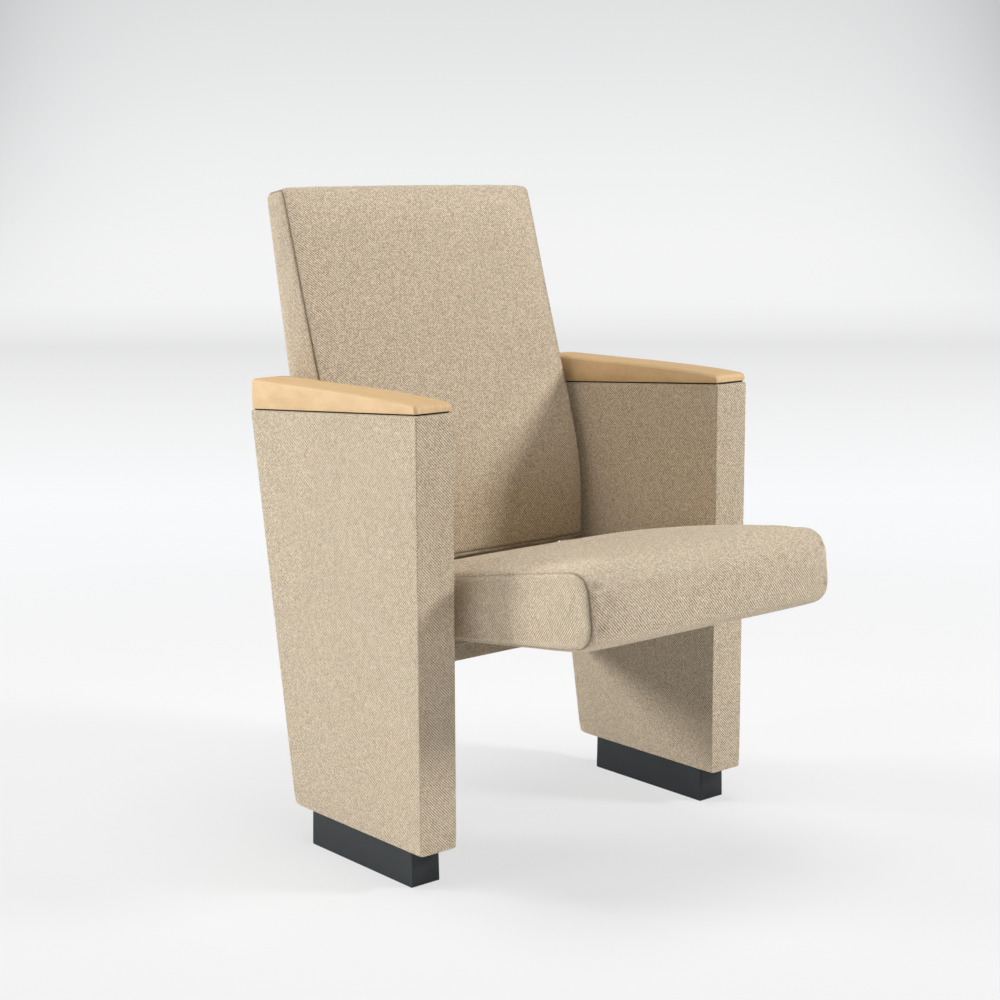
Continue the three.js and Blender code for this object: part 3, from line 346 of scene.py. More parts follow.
class Pad:
    """A padded block: one band of cloth round its width, and a cap at each end, with a seam round each cap."""

    def __init__(self, half, corners, edge, step, shape, pinch=(), extra=((), (), ()), tight=None, more_shade=None,
                 shade_line_width=0.0016):
        self.half = half  # half width, half depth and half height
        self.corners = corners  # radii of its outline: front low, rear low, rear high, front high
        self.edge = edge
        self.shape = shape  # from a place in the block, and its place on the plain box, to its place in the chair
        self.pinch = pinch  # pairs of depth and width, by which the seam is drawn in
        self.shade_line_width = shade_line_width  # of the line of painted shade along the seam
        self.tight = tight or (lambda box: 1.0)  # how strongly the seam is drawn in at a place
        self.more_shade = more_shade or (lambda box: 0.0)  # how much painted shade a place gets beside further seams and in hollows, up to 1
        self.lines = [edge_lines(h, edge, step, more) for h, more in zip(half, extra)]
        self.made = {}
        self.from_seam = []
        self.shade_marks = []
        self.boxes = []
        self.mesh = bmesh.new()
        self.cloth_map = self.mesh.loops.layers.uv.new("cloth")
        self.build()

    def place(self, x, y, z):
        """A place on the plain box, moved onto the rounded block, and its distance from the seam."""
        hx, hy, hz = self.half
        inset = min(hy - abs(y), hz - abs(z))
        on_band = hx - abs(x) > TINY
        from_seam = hx - abs(x) if on_band else inset
        share = min(1.0, from_seam / self.edge)
        angle = math.pi / 4 * (1 - share if on_band else 1 + share)
        drawn = self.edge * (1 - math.cos(angle))
        if not on_band:
            drawn = max(drawn, inset)
        depth = self.tight((x, y, z)) * sum(d * math.exp(-((from_seam / w) ** 2)) for d, w in self.pinch)
        new_x = abs(x) if on_band and share >= 1 else hx - self.edge * (1 - math.sin(angle))
        new_x -= depth * math.sin(angle)
        drawn_in = drawn + depth * math.cos(angle)
        on_y, on_z = (hy, hz) if on_band else (hy - inset, hz - inset)
        to_y, to_z = hy - drawn_in, hz - drawn_in
        corner = self.corners[(0 if y < 0 else 1) if z < 0 else (3 if y < 0 else 2)]
        new_y = y * to_y / on_y if on_y > TINY else 0.0
        new_z = z * to_z / on_z if on_z > TINY else 0.0
        ry, rz = rounded(new_y, new_z, to_y, to_z, max(0.0, corner - drawn_in))
        return Vector((math.copysign(new_x, x), ry, rz)), from_seam

    def vertex(self, index):
        key = tuple(index)
        if key not in self.made:
            box = [line[i] for line, i in zip(self.lines, index)]
            place, from_seam = self.place(*box)
            self.made[key] = self.mesh.verts.new(self.shape(place, box))
            self.from_seam.append(from_seam)
            self.boxes.append(box)
            # painted shade along the seam, strongest where the seam is drawn in
            own = self.tight(box) * math.exp(-((from_seam / self.shade_line_width) ** 2)) if self.pinch else 0.0
            self.shade_marks.append(max(own, self.more_shade(box)))
        return self.made[key]

    def build(self):
        counts = [len(line) - 1 for line in self.lines]
        for axis in range(3):
            a, b = [n for n in range(3) if n != axis]
            for end in (0, counts[axis]):
                for p in range(counts[a]):
                    for q in range(counts[b]):
                        around = []
                        for dp, dq in ((0, 0), (1, 0), (1, 1), (0, 1)):
                            index = [end] * 3
                            index[a], index[b] = p + dp, q + dq
                            around.append(index)
                        if (end > 0) == (axis == 1):
                            around.reverse()
                        face = self.mesh.faces.new([self.vertex(index) for index in around])
                        face.smooth = True
                        for loop, index in zip(face.loops, around):
                            loop[self.cloth_map].uv = (self.lines[a][index[a]], self.lines[b][index[b]])

    def near_edge(self, box, reach):
        """Whether a place lies within reach of an edge of the block."""
        return sum(half - abs(place) < reach for half, place in zip(self.half, box)) >= 2

    def seam_rings(self):
        """The indices of the points along the two seams, in order round each."""
        hx, hy, hz = self.half
        rings = []
        for side in (-1, 1):
            ring = []
            for i, (x, y, z) in enumerate(self.boxes):
                if abs(x - side * hx) < TINY and min(hy - abs(y), hz - abs(z)) < TINY:
                    ring.append((math.atan2(z / hz, y / hy), i))
            rings.append([i for _, i in sorted(ring)])
        return rings

    def object(self, name):
        data = bpy.data.meshes.new(name)
        self.mesh.verts.index_update()
        self.mesh.to_mesh(data)
        self.mesh.free()
        made = bpy.data.objects.new(name, data)
        bpy.context.scene.collection.objects.link(made)
        # the painted shade of the seams and hollows, read by the cloth finish
        mark = data.attributes.new("seam", "FLOAT", "POINT")
        for i, value in enumerate(self.shade_marks):
            mark.data[i].value = value
        return made


CUSHION_GRID, PANEL_GRID = 0.0085, 0.012  # steps of the cloth's grid
PRESSURE = 3.0  # of the filling on the cloth
MOST_MOVE = 0.0025
SHRINK = -0.008  # below zero the cloth is cut larger
FRAMES = 20


def stretch_cloth(made, held):
    """Lets the cloth of a pad swell over its filling. held says how fast each point is sewn or stapled down."""
    mesh = made.data
    rest = [vertex.co.copy() for vertex in mesh.vertices]
    group = made.vertex_groups.new(name="held")
    for i, weight in enumerate(held):
        group.add([i], weight, "REPLACE")
    modifier = made.modifiers.new("stretched_cloth", "CLOTH")
    settings = modifier.settings
    settings.quality = 6
    settings.mass = 0.3
    settings.tension_stiffness = 20
    settings.compression_stiffness = 20
    settings.shear_stiffness = 8
    settings.bending_stiffness = 1.5
    settings.use_pressure = True
    settings.uniform_pressure_force = PRESSURE
    settings.shrink_min = SHRINK
    settings.vertex_group_mass = "held"
    settings.effector_weights.gravity = 0
    modifier.point_cache.frame_end = FRAMES
    scene = bpy.context.scene
    for step in range(1, FRAMES + 1):
        scene.frame_set(step)
    depsgraph = bpy.context.evaluated_depsgraph_get()
    swollen = [vertex.co.copy() for vertex in made.evaluated_get(depsgraph).data.vertices]
    made.modifiers.remove(modifier)
    made.vertex_groups.remove(group)
    scene.frame_set(1)
    for vertex, was, now in zip(mesh.vertices, rest, swollen):
        move = now - was
        if move.length > MOST_MOVE:
            move *= MOST_MOVE / move.length
        vertex.co = was + move
    mesh.update()


def give(made, finish, slot, body, *nodes):
    """Dresses a finished piece, sets it on its body and lets it stand for CAD nodes."""
    made.data.materials.clear()
    made.data.materials.append(finish)
    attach(made, body)
    if nodes:
        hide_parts(*nodes)


def smooth_by_subdivision(made):
    modifier = made.modifiers.new("fullness", "SUBSURF")
    modifier.levels = 1
    modifier.render_levels = 1


# ---------------------------------------------------------------- stitches and staples


STITCH = {"Pitch": 0.0036, "Length": 0.0027, "Rise": 0.0006, "Wire": 0.00022}
STAPLE = {"Pitch": 0.028, "Length": 0.0105, "Rise": 0.0011, "Wire": 0.00042}
STAPLE_INSET = 0.006  # from the edge of the cloth under the seat


def bites_tree():
    """Geometry Nodes that lay short bites of thread or wire along closed paths."""
    tree = bpy.data.node_groups.new("bites_along_path", "GeometryNodeTree")
    face = tree.interface
    face.new_socket("Geometry", in_out="INPUT", socket_type="NodeSocketGeometry")
    for name in ("Pitch", "Length", "Rise", "Wire"):
        face.new_socket(name, in_out="INPUT", socket_type="NodeSocketFloat")
    face.new_socket("Finish", in_out="INPUT", socket_type="NodeSocketMaterial")
    face.new_socket("Geometry", in_out="OUTPUT", socket_type="NodeSocketGeometry")

    def node(kind, **settings):
        made = tree.nodes.new(kind)
        for key, value in settings.items():
            setattr(made, key, value)
        return made

    def join(output, target):
        tree.links.new(output, target)

    given = node("NodeGroupInput").outputs
    path = node("GeometryNodeMeshToCurve")
    join(given["Geometry"], path.inputs["Mesh"])
    even = node("GeometryNodeResampleCurve", mode="LENGTH")
    join(path.outputs["Curve"], even.inputs["Curve"])
    join(given["Pitch"], even.inputs["Length"])

    start, middle, end = (node("ShaderNodeCombineXYZ") for _ in range(3))
    for share, corner in ((-0.5, start), (0.5, end)):
        part = node("ShaderNodeMath", operation="MULTIPLY")
        join(given["Length"], part.inputs[0])
        part.inputs[1].default_value = share
        join(part.outputs[0], corner.inputs["X"])
    join(given["Rise"], middle.inputs["Z"])
    arch = node("GeometryNodeCurveQuadraticBezier")
    arch.inputs["Resolution"].default_value = 4
    join(start.outputs[0], arch.inputs["Start"])
    join(middle.outputs[0], arch.inputs["Middle"])
    join(end.outputs[0], arch.inputs["End"])
    section = node("GeometryNodeCurvePrimitiveCircle")
    section.inputs["Resolution"].default_value = 5
    join(given["Wire"], section.inputs["Radius"])
    bite = node("GeometryNodeCurveToMesh")
    join(arch.outputs["Curve"], bite.inputs["Curve"])
    join(section.outputs["Curve"], bite.inputs["Profile Curve"])
    bite.inputs["Fill Caps"].default_value = True

    along = node("FunctionNodeAlignRotationToVector", axis="X")
    join(node("GeometryNodeInputTangent").outputs[0], along.inputs["Vector"])
    outward = node("GeometryNodeInputNamedAttribute", data_type="FLOAT_VECTOR")
    outward.inputs["Name"].default_value = "outward"
    upright = node("FunctionNodeAlignRotationToVector", axis="Z", pivot_axis="X")
    join(along.outputs["Rotation"], upright.inputs["Rotation"])
    join(outward.outputs["Attribute"], upright.inputs["Vector"])
    placed = node("GeometryNodeInstanceOnPoints")
    join(even.outputs["Curve"], placed.inputs["Points"])
    join(bite.outputs["Mesh"], placed.inputs["Instance"])
    join(upright.outputs["Rotation"], placed.inputs["Rotation"])
    real = node("GeometryNodeRealizeInstances")
    join(placed.outputs["Instances"], real.inputs["Geometry"])
    dress = node("GeometryNodeSetMaterial")
    join(real.outputs["Geometry"], dress.inputs["Geometry"])
    join(given["Finish"], dress.inputs["Material"])
    join(dress.outputs["Geometry"], node("NodeGroupOutput").inputs[0])
    return tree


def bites(name, rings, finish, slot, body, sizes):
    """Bites along closed rings of (place, outward direction)."""
    places, directions, edges = [], [], []
    for ring in rings:
        first = len(places)
        for i, (place, outward) in enumerate(ring):
            places.append(place)
            directions.append(outward)
            edges.append((first + i, first + (i + 1) % len(ring)))
    data = bpy.data.meshes.new(f"{name}_path")
    data.from_pydata(places, edges, [])
    data.attributes.new("outward", "FLOAT_VECTOR", "POINT").data.foreach_set(
        "vector", [value for direction in directions for value in direction])
    carrier = bpy.data.objects.new(f"{name}_path", data)
    bpy.context.scene.collection.objects.link(carrier)
    modifier = carrier.modifiers.new("bites", "NODES")
    modifier.node_group = BITES
    for item in BITES.interface.items_tree:
        if item.in_out == "INPUT" and item.name in sizes:
            modifier[item.identifier] = sizes[item.name]
        if item.in_out == "INPUT" and item.name == "Finish":
            modifier[item.identifier] = finish
    depsgraph = bpy.context.evaluated_depsgraph_get()
    real = bpy.data.meshes.new_from_object(carrier.evaluated_get(depsgraph))
    real.name = name
    bpy.data.objects.remove(carrier)
    made = bpy.data.objects.new(name, real)
    bpy.context.scene.collection.objects.link(made)
    for face in real.polygons:
        face.use_smooth = True
    give(made, finish, slot, body)


def stitches(name, cushion, pad, body):
    """Thread in the two seams of a cushion, on its finished surface."""
    depsgraph = bpy.context.evaluated_depsgraph_get()
    finished = cushion.evaluated_get(depsgraph).data
    rings = []
    for ring in pad.seam_rings():
        rings.append([(finished.vertices[i].co.copy(), finished.vertices[i].normal.copy()) for i in ring])
    bites(name, rings, thread, "fabric", body, STITCH)


def staples(name, half, front, rear, height):
    """Staples through the edge of the cloth under the seat."""
    side = half - STAPLE_INSET
    first, last = front + STAPLE_INSET, rear - STAPLE_INSET
    corners = [(-side, first), (side, first), (side, last), (-side, last)]
    outward = from_seat(0, 0, -1) - from_seat(0, 0, 0)
    ring = [(from_seat(x, depth, height), outward) for x, depth in corners]
    bites(name, [ring], plated, "zinc", "seat", STAPLE)


# ---------------------------------------------------------------- back

RECLINE = math.radians(10.34)
BACK_FOOT = Vector((0, hinge.y + 0.1083, hinge.z - 0.148))
BACK_HALF = 0.229
BACK_LOW, BACK_HIGH = 0.1555, 0.703
BACK_CORNERS = (0.006, 0.006, 0.016, 0.013)
BACK_EDGE = 0.006  # rounding of the cloth from its seams
LOWER_SEAM = 0.0058  # its height above the lower end of the back
LOWER_SEAM_WIDTH, LOWER_SEAM_DEPTH = 0.0013, 0.0016
BACK_DEPTH = 0.0905
BACK_CROWN, BACK_TOP_CROWN, BACK_CROWN_POWER = 0.006, 0.002, 2.6
BACK_PINCH = ((0.0017, 0.0015), (0.0030, 0.009))
BACK_CREASE_SHADE_WIDTH, BACK_CREASE_SHADE = 0.006, 0.29  # of the painted shade in the soft hollow beside the side seams
# width of the line of painted shade along the back's seams
BACK_SEAM_SHADE_WIDTH = 0.0026
BACK_PANEL = {"thickness": 0.018, "puff": 0.0015, "inset": 0.0073, "below_top": 0.0123}
# How deep the cushion is, from its lower end to its top
BACK_PROFILE = ((0.0, 0.80), (0.127, 0.949), (0.227, 1.0), (0.332, 0.962), (0.509, 0.826), (0.695, 0.678),
                (0.873, 0.552), (1.0, 0.458))


def smooth_table(table, place):
    """A Catmull-Rom curve through a table's values."""
    n = len(table)
    for i in range(n - 1):
        if place <= table[i + 1][0] or i == n - 2:
            break
    (x0, y0), (x1, y1) = table[i], table[i + 1]
    before = table[i - 1] if i > 0 else (2 * x0 - x1, 2 * y0 - y1)
    after = table[i + 2] if i + 2 < n else (2 * x1 - x0, 2 * y1 - y0)
    m0 = (y1 - before[1]) / (x1 - before[0]) * (x1 - x0)
    m1 = (after[1] - y0) / (after[0] - x0) * (x1 - x0)
    t = max(0.0, min(1.0, (place - x0) / (x1 - x0)))
    return ((2 * t ** 3 - 3 * t ** 2 + 1) * y0 + (t ** 3 - 2 * t ** 2 + t) * m0
            + (-2 * t ** 3 + 3 * t ** 2) * y1 + (t ** 3 - t ** 2) * m1)


def from_back(x, depth, height):
    """A place in the back's own frame, given in the chair's."""
    c, s = math.cos(RECLINE), math.sin(RECLINE)
    return Vector((x, BACK_FOOT.y + depth * c + height * s, BACK_FOOT.z - depth * s + height * c))


def back_cushion():
    half_height = (BACK_HIGH - BACK_LOW) / 2

    def on_front(box):
        return box[1] <= -BACK_DEPTH / 2 + 1e-6

    def lower_seam(box):
        if not on_front(box) or abs(box[0]) > BACK_HALF - 1e-6:
            return 0.0
        return math.exp(-(((box[2] + half_height - LOWER_SEAM) / LOWER_SEAM_WIDTH) ** 2))

    def crease_shade(box):
        """Painted shade on the front: a dark line along the lower seam, and shade in the soft hollow beside the side
        seams.
        """
        if not on_front(box):
            return 0.0
        beside = (BACK_HALF - abs(box[0])) / BACK_CREASE_SHADE_WIDTH
        return max(lower_seam(box), BACK_CREASE_SHADE * math.exp(-beside ** 2))

    def shape(place, box):
        share = place.z / (2 * half_height) + 0.5
        depth = BACK_DEPTH * smooth_table(BACK_PROFILE, share)
        front = 0.5 - place.y / BACK_DEPTH  # 1 at the front face and 0 at the rear one
        full = 1 - min(1.0, abs(place.x) / BACK_HALF) ** BACK_CROWN_POWER
        crown = BACK_CROWN * full * max(0.0, front) * min(1.0, 8 * share, 8 * (1 - share) + 0.15)
        crown -= LOWER_SEAM_DEPTH * lower_seam(box)
        top = BACK_TOP_CROWN * full * share ** 8
        return from_back(place.x, -depth * front - crown, BACK_LOW + half_height + place.z + top)

    half = (BACK_HALF, BACK_DEPTH / 2, half_height)
    by_seam = [LOWER_SEAM - half_height + d for d in (-0.0022, -0.0009, 0.0, 0.0009, 0.0028)]
    pad = Pad(half, BACK_CORNERS, BACK_EDGE, CUSHION_GRID, shape, BACK_PINCH, ((), (), by_seam), None, crease_shade,
              BACK_SEAM_SHADE_WIDTH)
    made = pad.object("back_padding")
    held = [1.0 if mark > 0.3 else 0.85 * pad.near_edge(box, 0.016) for mark, box in zip(pad.shade_marks, pad.boxes)]
    stretch_cloth(made, held)
    smooth_by_subdivision(made)
    stitches("back_stitches", made, pad, "frame")
    give(made, cloth, "fabric", "frame", "back_cushion")


def back_rear_panel():
    half = BACK_HALF - BACK_PANEL["inset"]
    thickness = BACK_PANEL["thickness"]
    top = BACK_HIGH - BACK_PANEL["below_top"]

    def shape(place, box):
        full = max(0.0, 1 - (abs(place.x) / half) ** 4) * max(0.0, 1 - (2 * abs(place.z) / top) ** 6)
        puff = BACK_PANEL["puff"] * full * (1 if place.y > 0 else -0.4)
        return from_back(place.x, -thickness / 2 + place.y + puff, top / 2 + place.z)

    pad = Pad((half, thickness / 2, top / 2), (0.002,) * 4, 0.002, PANEL_GRID, shape)
    made = pad.object("back_rear_padding")
    smooth_by_subdivision(made)
    give(made, cloth, "fabric", "frame", "back_rear_panel")


# ---------------------------------------------------------------- seat

TILT = math.radians(7.8)
SEAT_HALF = 0.219
SEAT_FRONT, SEAT_REAR = -0.4335, 0.046
SEAT_LOW, SEAT_HIGH = -0.054, 0.0445
SEAT_REAR_DROP = 0.0242
SEAT_CORNERS = (0.031, 0.008, 0.016, 0.032)
SEAT_EDGE = 0.010
SEAT_CROWN, SEAT_BULGE = 0.0172, 0.0116  # of its top and of its front
SEAT_PINCH = ((0.0013, 0.0012), (0.0014, 0.007))
SEAT_PUCKERS = ((0.206, 0.022), (0.205, -0.028))  # small hollows beside the front seams: across, and height
# the last is the strength of the painted shade in the hollows of the puckers
PUCKER_WIDTH, PUCKER_HEIGHT, PUCKER_DEPTH, PUCKER_SHADE = 0.0055, 0.0032, 0.0038, 0.6
LINING_MARGIN, LINING_FRONT_MARGIN = 0.022, 0.047
LINING_THICKNESS = 0.0034
LINING_RECESS = 0.0045  # of the underside, where the lining lies
NOTCH_FLOOR = 0.2106  # of the recess for the hinge arm, across the chair
NOTCH_SIDE = 0.0022  # by which the side lies further in round the recess, clear of the spring
NOTCH_FRONT, NOTCH_STEP, NOTCH_HIGH, NOTCH_LOW = -0.1325, 0.0155, 0.0155, 0.0005


def from_seat(x, depth, height):
    """A place in the seat's own frame, whose origin is the hinge axis, given in the chair's."""
    c, s = math.cos(TILT), math.sin(TILT)
    return Vector((x, hinge.y + depth * c + height * s, hinge.z - depth * s + height * c))


def in_notch(depth, height):
    return depth > NOTCH_FRONT and height < (NOTCH_HIGH if depth < NOTCH_STEP else NOTCH_LOW)


def seat_cushion():
    half_depth = (SEAT_REAR - SEAT_FRONT) / 2
    half_height = (SEAT_HIGH - SEAT_LOW) / 2
    middle, level = (SEAT_REAR + SEAT_FRONT) / 2, (SEAT_HIGH + SEAT_LOW) / 2
    lining_half = SEAT_HALF - LINING_MARGIN
    lining_front, lining_rear = SEAT_FRONT + LINING_FRONT_MARGIN, SEAT_REAR - LINING_MARGIN

    def shape(place, box):
        lengthwise = place.y / half_depth
        across = min(1.0, abs(place.x) / SEAT_HALF)
        full = 1 - across ** 6
        high = 0.5 + place.z / (2 * half_height)
        depth = middle + place.y
        height = level + place.z
        by_notch = 0.0
        if abs(box[0]) > NOTCH_FLOOR - 0.0002:
            by_notch = max(0.0, min(1.0, (depth - NOTCH_FRONT) / 0.010 + 1.2))
        above_notch = max(0.0, (height - NOTCH_HIGH - 0.002) / (SEAT_HIGH - NOTCH_HIGH - 0.002))
        height -= SEAT_REAR_DROP * (0.5 + lengthwise / 2) * (high + by_notch * (above_notch - high))
        hump = max(0.0, 1 - abs(lengthwise) ** (2.78 if lengthwise < 0 else 1.84))
        height += (SEAT_CROWN * full * hump - 0.0017 * max(0.0, lengthwise) ** 2) * max(0.0, high) ** 2
        under_lining = 0.0
        if abs(box[2] + half_height) < TINY:
            inside = min(lining_half - abs(place.x), depth - lining_front, lining_rear - depth)
            under_lining = max(0.0, min(1.0, inside / 0.006 + 0.6))
        fallen = 0.0043 * max(0.0, min(1.0, (-0.15 - depth) / 0.21)) + 0.0013 * full
        height += LINING_RECESS * under_lining - fallen * (1 - under_lining) * max(0.0, 1 - high) ** 2
        bulge = SEAT_BULGE * (1 - 0.55 * max(0.0, 1 - high) ** 1.5)
        depth -= bulge * full * max(0.0, -lengthwise - 0.86) / 0.14
        depth += PUCKER_DEPTH * puckered(place.x, level + place.z) * (lengthwise < -0.5)
        x = math.copysign(abs(place.x) - NOTCH_SIDE * by_notch, place.x)
        if in_notch(middle + box[1], level + box[2]) and abs(box[0]) > NOTCH_FLOOR:
            x = math.copysign(NOTCH_FLOOR, x)
        return from_seat(x, depth, height)

    def puckered(x, height):
        return sum(math.exp(-(((abs(x) - u) / PUCKER_WIDTH) ** 2) - ((height - v) / PUCKER_HEIGHT) ** 2)
                   for u, v in SEAT_PUCKERS)

    # painted shade in the small hollows of the puckers
    def pucker_shade(box):
        return PUCKER_SHADE * puckered(box[0], level + box[2]) * (box[1] < -half_depth + 1e-6)

    def tight(box):
        """The seam is drawn in round the front, and lies flat along the top and the underside."""
        from_front = box[1] + half_depth
        if from_front < 0.012:
            return 1.0
        return 0.3 + 0.7 * max(0.0, 1 - (from_front - 0.012) / 0.03)

    def lines_at(centre, *places):
        return [p - centre + d for p in places for d in (-0.0007, 0.0007)]

    beside = [side * u for side in (-1, 1) for u in (0.2032, 0.206)]
    at_puckers = [v - level + d for _, v in SEAT_PUCKERS for d in (-0.003, 0, 0.003)]
    extra = (beside, lines_at(middle, NOTCH_FRONT, NOTCH_STEP), lines_at(level, NOTCH_HIGH, NOTCH_LOW) + at_puckers)
    half = (SEAT_HALF, half_depth, half_height)
    pad = Pad(half, SEAT_CORNERS, SEAT_EDGE, CUSHION_GRID, shape, SEAT_PINCH, extra, tight, pucker_shade)
    made = pad.object("seat_padding")
    axis = from_seat(0, 0, 0)
    down = from_seat(0, 0, -1) - axis
    notch_start = from_seat(0, NOTCH_FRONT - 0.01, 0).y
    held = []
    for from_seam, box, vertex in zip(pad.from_seam, pad.boxes, made.data.vertices):
        sewn = from_seam < 0.0014
        stapled = (vertex.co - axis).dot(down) > -SEAT_LOW - 0.008
        by_hinge = abs(vertex.co.x) > NOTCH_FLOOR - 0.012 and vertex.co.y > notch_start
        held.append(1.0 if sewn or stapled or by_hinge else 0.8 * pad.near_edge(box, 0.03))
    stretch_cloth(made, held)
    smooth_by_subdivision(made)
    stitches("seat_stitches", made, pad, "seat")
    give(made, cloth, "fabric", "seat", "seat_cushion")


def seat_under_cloth():
    low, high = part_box("seat_under_cover")
    half = high.x
    front, rear = SEAT_FRONT + LINING_FRONT_MARGIN, SEAT_REAR - LINING_MARGIN
    half_depth, half_height = (rear - front) / 2, LINING_THICKNESS / 2

    def shape(place, box):
        return from_seat(place.x, (front + rear) / 2 + place.y, SEAT_LOW + half_height + place.z)

    pad = Pad((half, half_depth, half_height), (0.0012,) * 4, 0.0012, PANEL_GRID, shape)
    made = pad.object("seat_under_cloth")
    staples("lining_staples", half, front, rear, SEAT_LOW)
    give(made, lining, "fabric", "seat", "seat_under_cover")


# ---------------------------------------------------------------- arm panels

PANEL_TOP_DEPTH = 0.373
PANEL_BOTTOM_DEPTH = 0.284
PANEL_BOTTOM, PANEL_FRONT_TOP, PANEL_REAR_TOP = 0.050, 0.623, 0.597
PANEL_CLOTH_GRID = 0.014
PANEL_CORNER = 0.004  # radius of its lower corners, seen from the front


def arm_panel(side_name):
    low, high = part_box(f"{side_name}_panel_cover")
    centre, half = (low.x + high.x) / 2, (high.x - low.x) / 2
    half_depth, half_height = PANEL_TOP_DEPTH / 2, (PANEL_FRONT_TOP - PANEL_BOTTOM) / 2

    def shape(place, box):
        u = 0.5 + place.y / (2 * half_depth)
        v = 0.5 + place.z / (2 * half_height)
        top_at = PANEL_FRONT_TOP - u * (PANEL_FRONT_TOP - PANEL_REAR_TOP)
        height = PANEL_BOTTOM + v * (top_at - PANEL_BOTTOM)
        rear = PANEL_BOTTOM_DEPTH + (PANEL_TOP_DEPTH - PANEL_BOTTOM_DEPTH) * (
            (height - PANEL_BOTTOM) / (PANEL_REAR_TOP - PANEL_BOTTOM))
        rear = min(rear, PANEL_TOP_DEPTH)
        above = min(1.0, (half_height + box[2]) / PANEL_CORNER)
        rounding = PANEL_CORNER * (1 - math.sqrt(1 - (1 - above) ** 2))
        across = place.x * (1 - rounding / half)
        return Vector((centre + across, FRONT + u * rear, height))

    pad = Pad((half, half_depth, half_height), (0.003, 0.008, 0.003, 0.003), 0.002, PANEL_CLOTH_GRID, shape)
    made = pad.object(f"{side_name}_panel_cloth")
    smooth_by_subdivision(made)
    give(made, cloth, "fabric", "frame", f"{side_name}_panel_cover")


# ---------------------------------------------------------------- armrests

ARMREST_GAP = 0.002
ARMREST_TOP = 0.641
# How far the top of the armrest has fallen, at distances behind its front end
NOSE_FALL = ((0.0, 0.0056), (0.010, 0.0048), (0.024, 0.0038), (0.040, 0.0029), (0.068, 0.0017), (0.100, 0.0009),
             (0.180, 0.0))
NOSE_RADIUS, SIDE_RADIUS, NOSE_CORNER, TAIL_CORNER, TAIL_RADIUS = 0.006, 0.0045, 0.004, 0.011, 0.010
BOTTOM_EDGE = 0.0008
TOP_CROWN = 0.0006
END_REACH = 0.013  # of the closer sections at both ends
END_STEPS, LENGTH_STEPS, CORNER_STEPS, TOP_STEPS = 6, 34, 6, 8


def armrest(side_name):
    low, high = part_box(f"{side_name}_armrest")
    centre, half = (low.x + high.x) / 2, (high.x - low.x) / 2
    length = high.y - low.y
    slope = (PANEL_FRONT_TOP - PANEL_REAR_TOP) / PANEL_TOP_DEPTH
    ends = [END_REACH * (1 - math.cos(k / END_STEPS * math.pi / 2)) for k in range(END_STEPS + 1)]
    between = [END_REACH + (length - 2 * END_REACH) * k / LENGTH_STEPS for k in range(1, LENGTH_STEPS)]
    stations = ends + between + [length - s for s in reversed(ends)]

    def top_at(y):
        return ARMREST_TOP - (smooth_table(NOSE_FALL, y) if y < NOSE_FALL[-1][0] else 0.0)

    def corner(distance, radius):
        if distance >= radius:
            return 0.0
        return radius - math.sqrt(max(0.0, radius ** 2 - (radius - distance) ** 2))

    mesh = bmesh.new()
    rings = []
    for y in stations:
        bottom = PANEL_FRONT_TOP + ARMREST_GAP - slope * (low.y - FRONT + y)
        top = top_at(y) - corner(y, NOSE_RADIUS) - corner(length - y, TAIL_RADIUS)
        w = half - corner(y, NOSE_CORNER) - corner(length - y, TAIL_CORNER)
        bottom += corner(y, BOTTOM_EDGE) + corner(length - y, BOTTOM_EDGE)
        r = min(SIDE_RADIUS, (top - bottom) * 0.7)
        points = [(-w, bottom + BOTTOM_EDGE), (-w, (bottom + top - r) / 2)]
        for k in range(CORNER_STEPS + 1):
            a = k / CORNER_STEPS * math.pi / 2
            points.append((-w + r * (1 - math.cos(a)), top - r + r * math.sin(a)))
        for k in range(1, TOP_STEPS):
            x = (-w + r) + 2 * (w - r) * k / TOP_STEPS
            points.append((x, top + TOP_CROWN * (1 - (x / w) ** 2)))
        for k in range(CORNER_STEPS + 1):
            a = (1 - k / CORNER_STEPS) * math.pi / 2
            points.append((w - r * (1 - math.cos(a)), top - r + r * math.sin(a)))
        points += [(w, (bottom + top - r) / 2), (w, bottom + BOTTOM_EDGE), (w - BOTTOM_EDGE, bottom),
                   (-w + BOTTOM_EDGE, bottom)]
        rings.append([mesh.verts.new((centre + x, low.y + y, z)) for x, z in points])
    n = len(rings[0])
    for first, second in zip(rings, rings[1:]):
        for i in range(n):
            j = (i + 1) % n
            face = mesh.faces.new((first[i], first[j], second[j], second[i]))
            face.smooth = True
    mesh.faces.new(rings[0])
    mesh.faces.new(list(reversed(rings[-1])))
    bmesh.ops.recalc_face_normals(mesh, faces=mesh.faces)
    data = bpy.data.meshes.new(f"{side_name}_armrest_beech")
    mesh.to_mesh(data)
    mesh.free()
    # how far each point faces up, for the painted shade and the stronger figure on the armrest's top
    top = data.attributes.new("top", "FLOAT", "POINT")
    top.data.foreach_set("value", [max(0.0, 1.4 * vertex.normal.z - 0.4) for vertex in data.vertices])
    made = bpy.data.objects.new(f"{side_name}_armrest_beech", data)
    bpy.context.scene.collection.objects.link(made)
    give(made, beech, "armrest_wood", "frame", f"{side_name}_armrest")


# ---------------------------------------------------------------- steel and fittings

FOOT_EDGE, FOOT_CORNER = 0.0008, 0.0026  # the broken edges and the round upright corners of the plinth feet

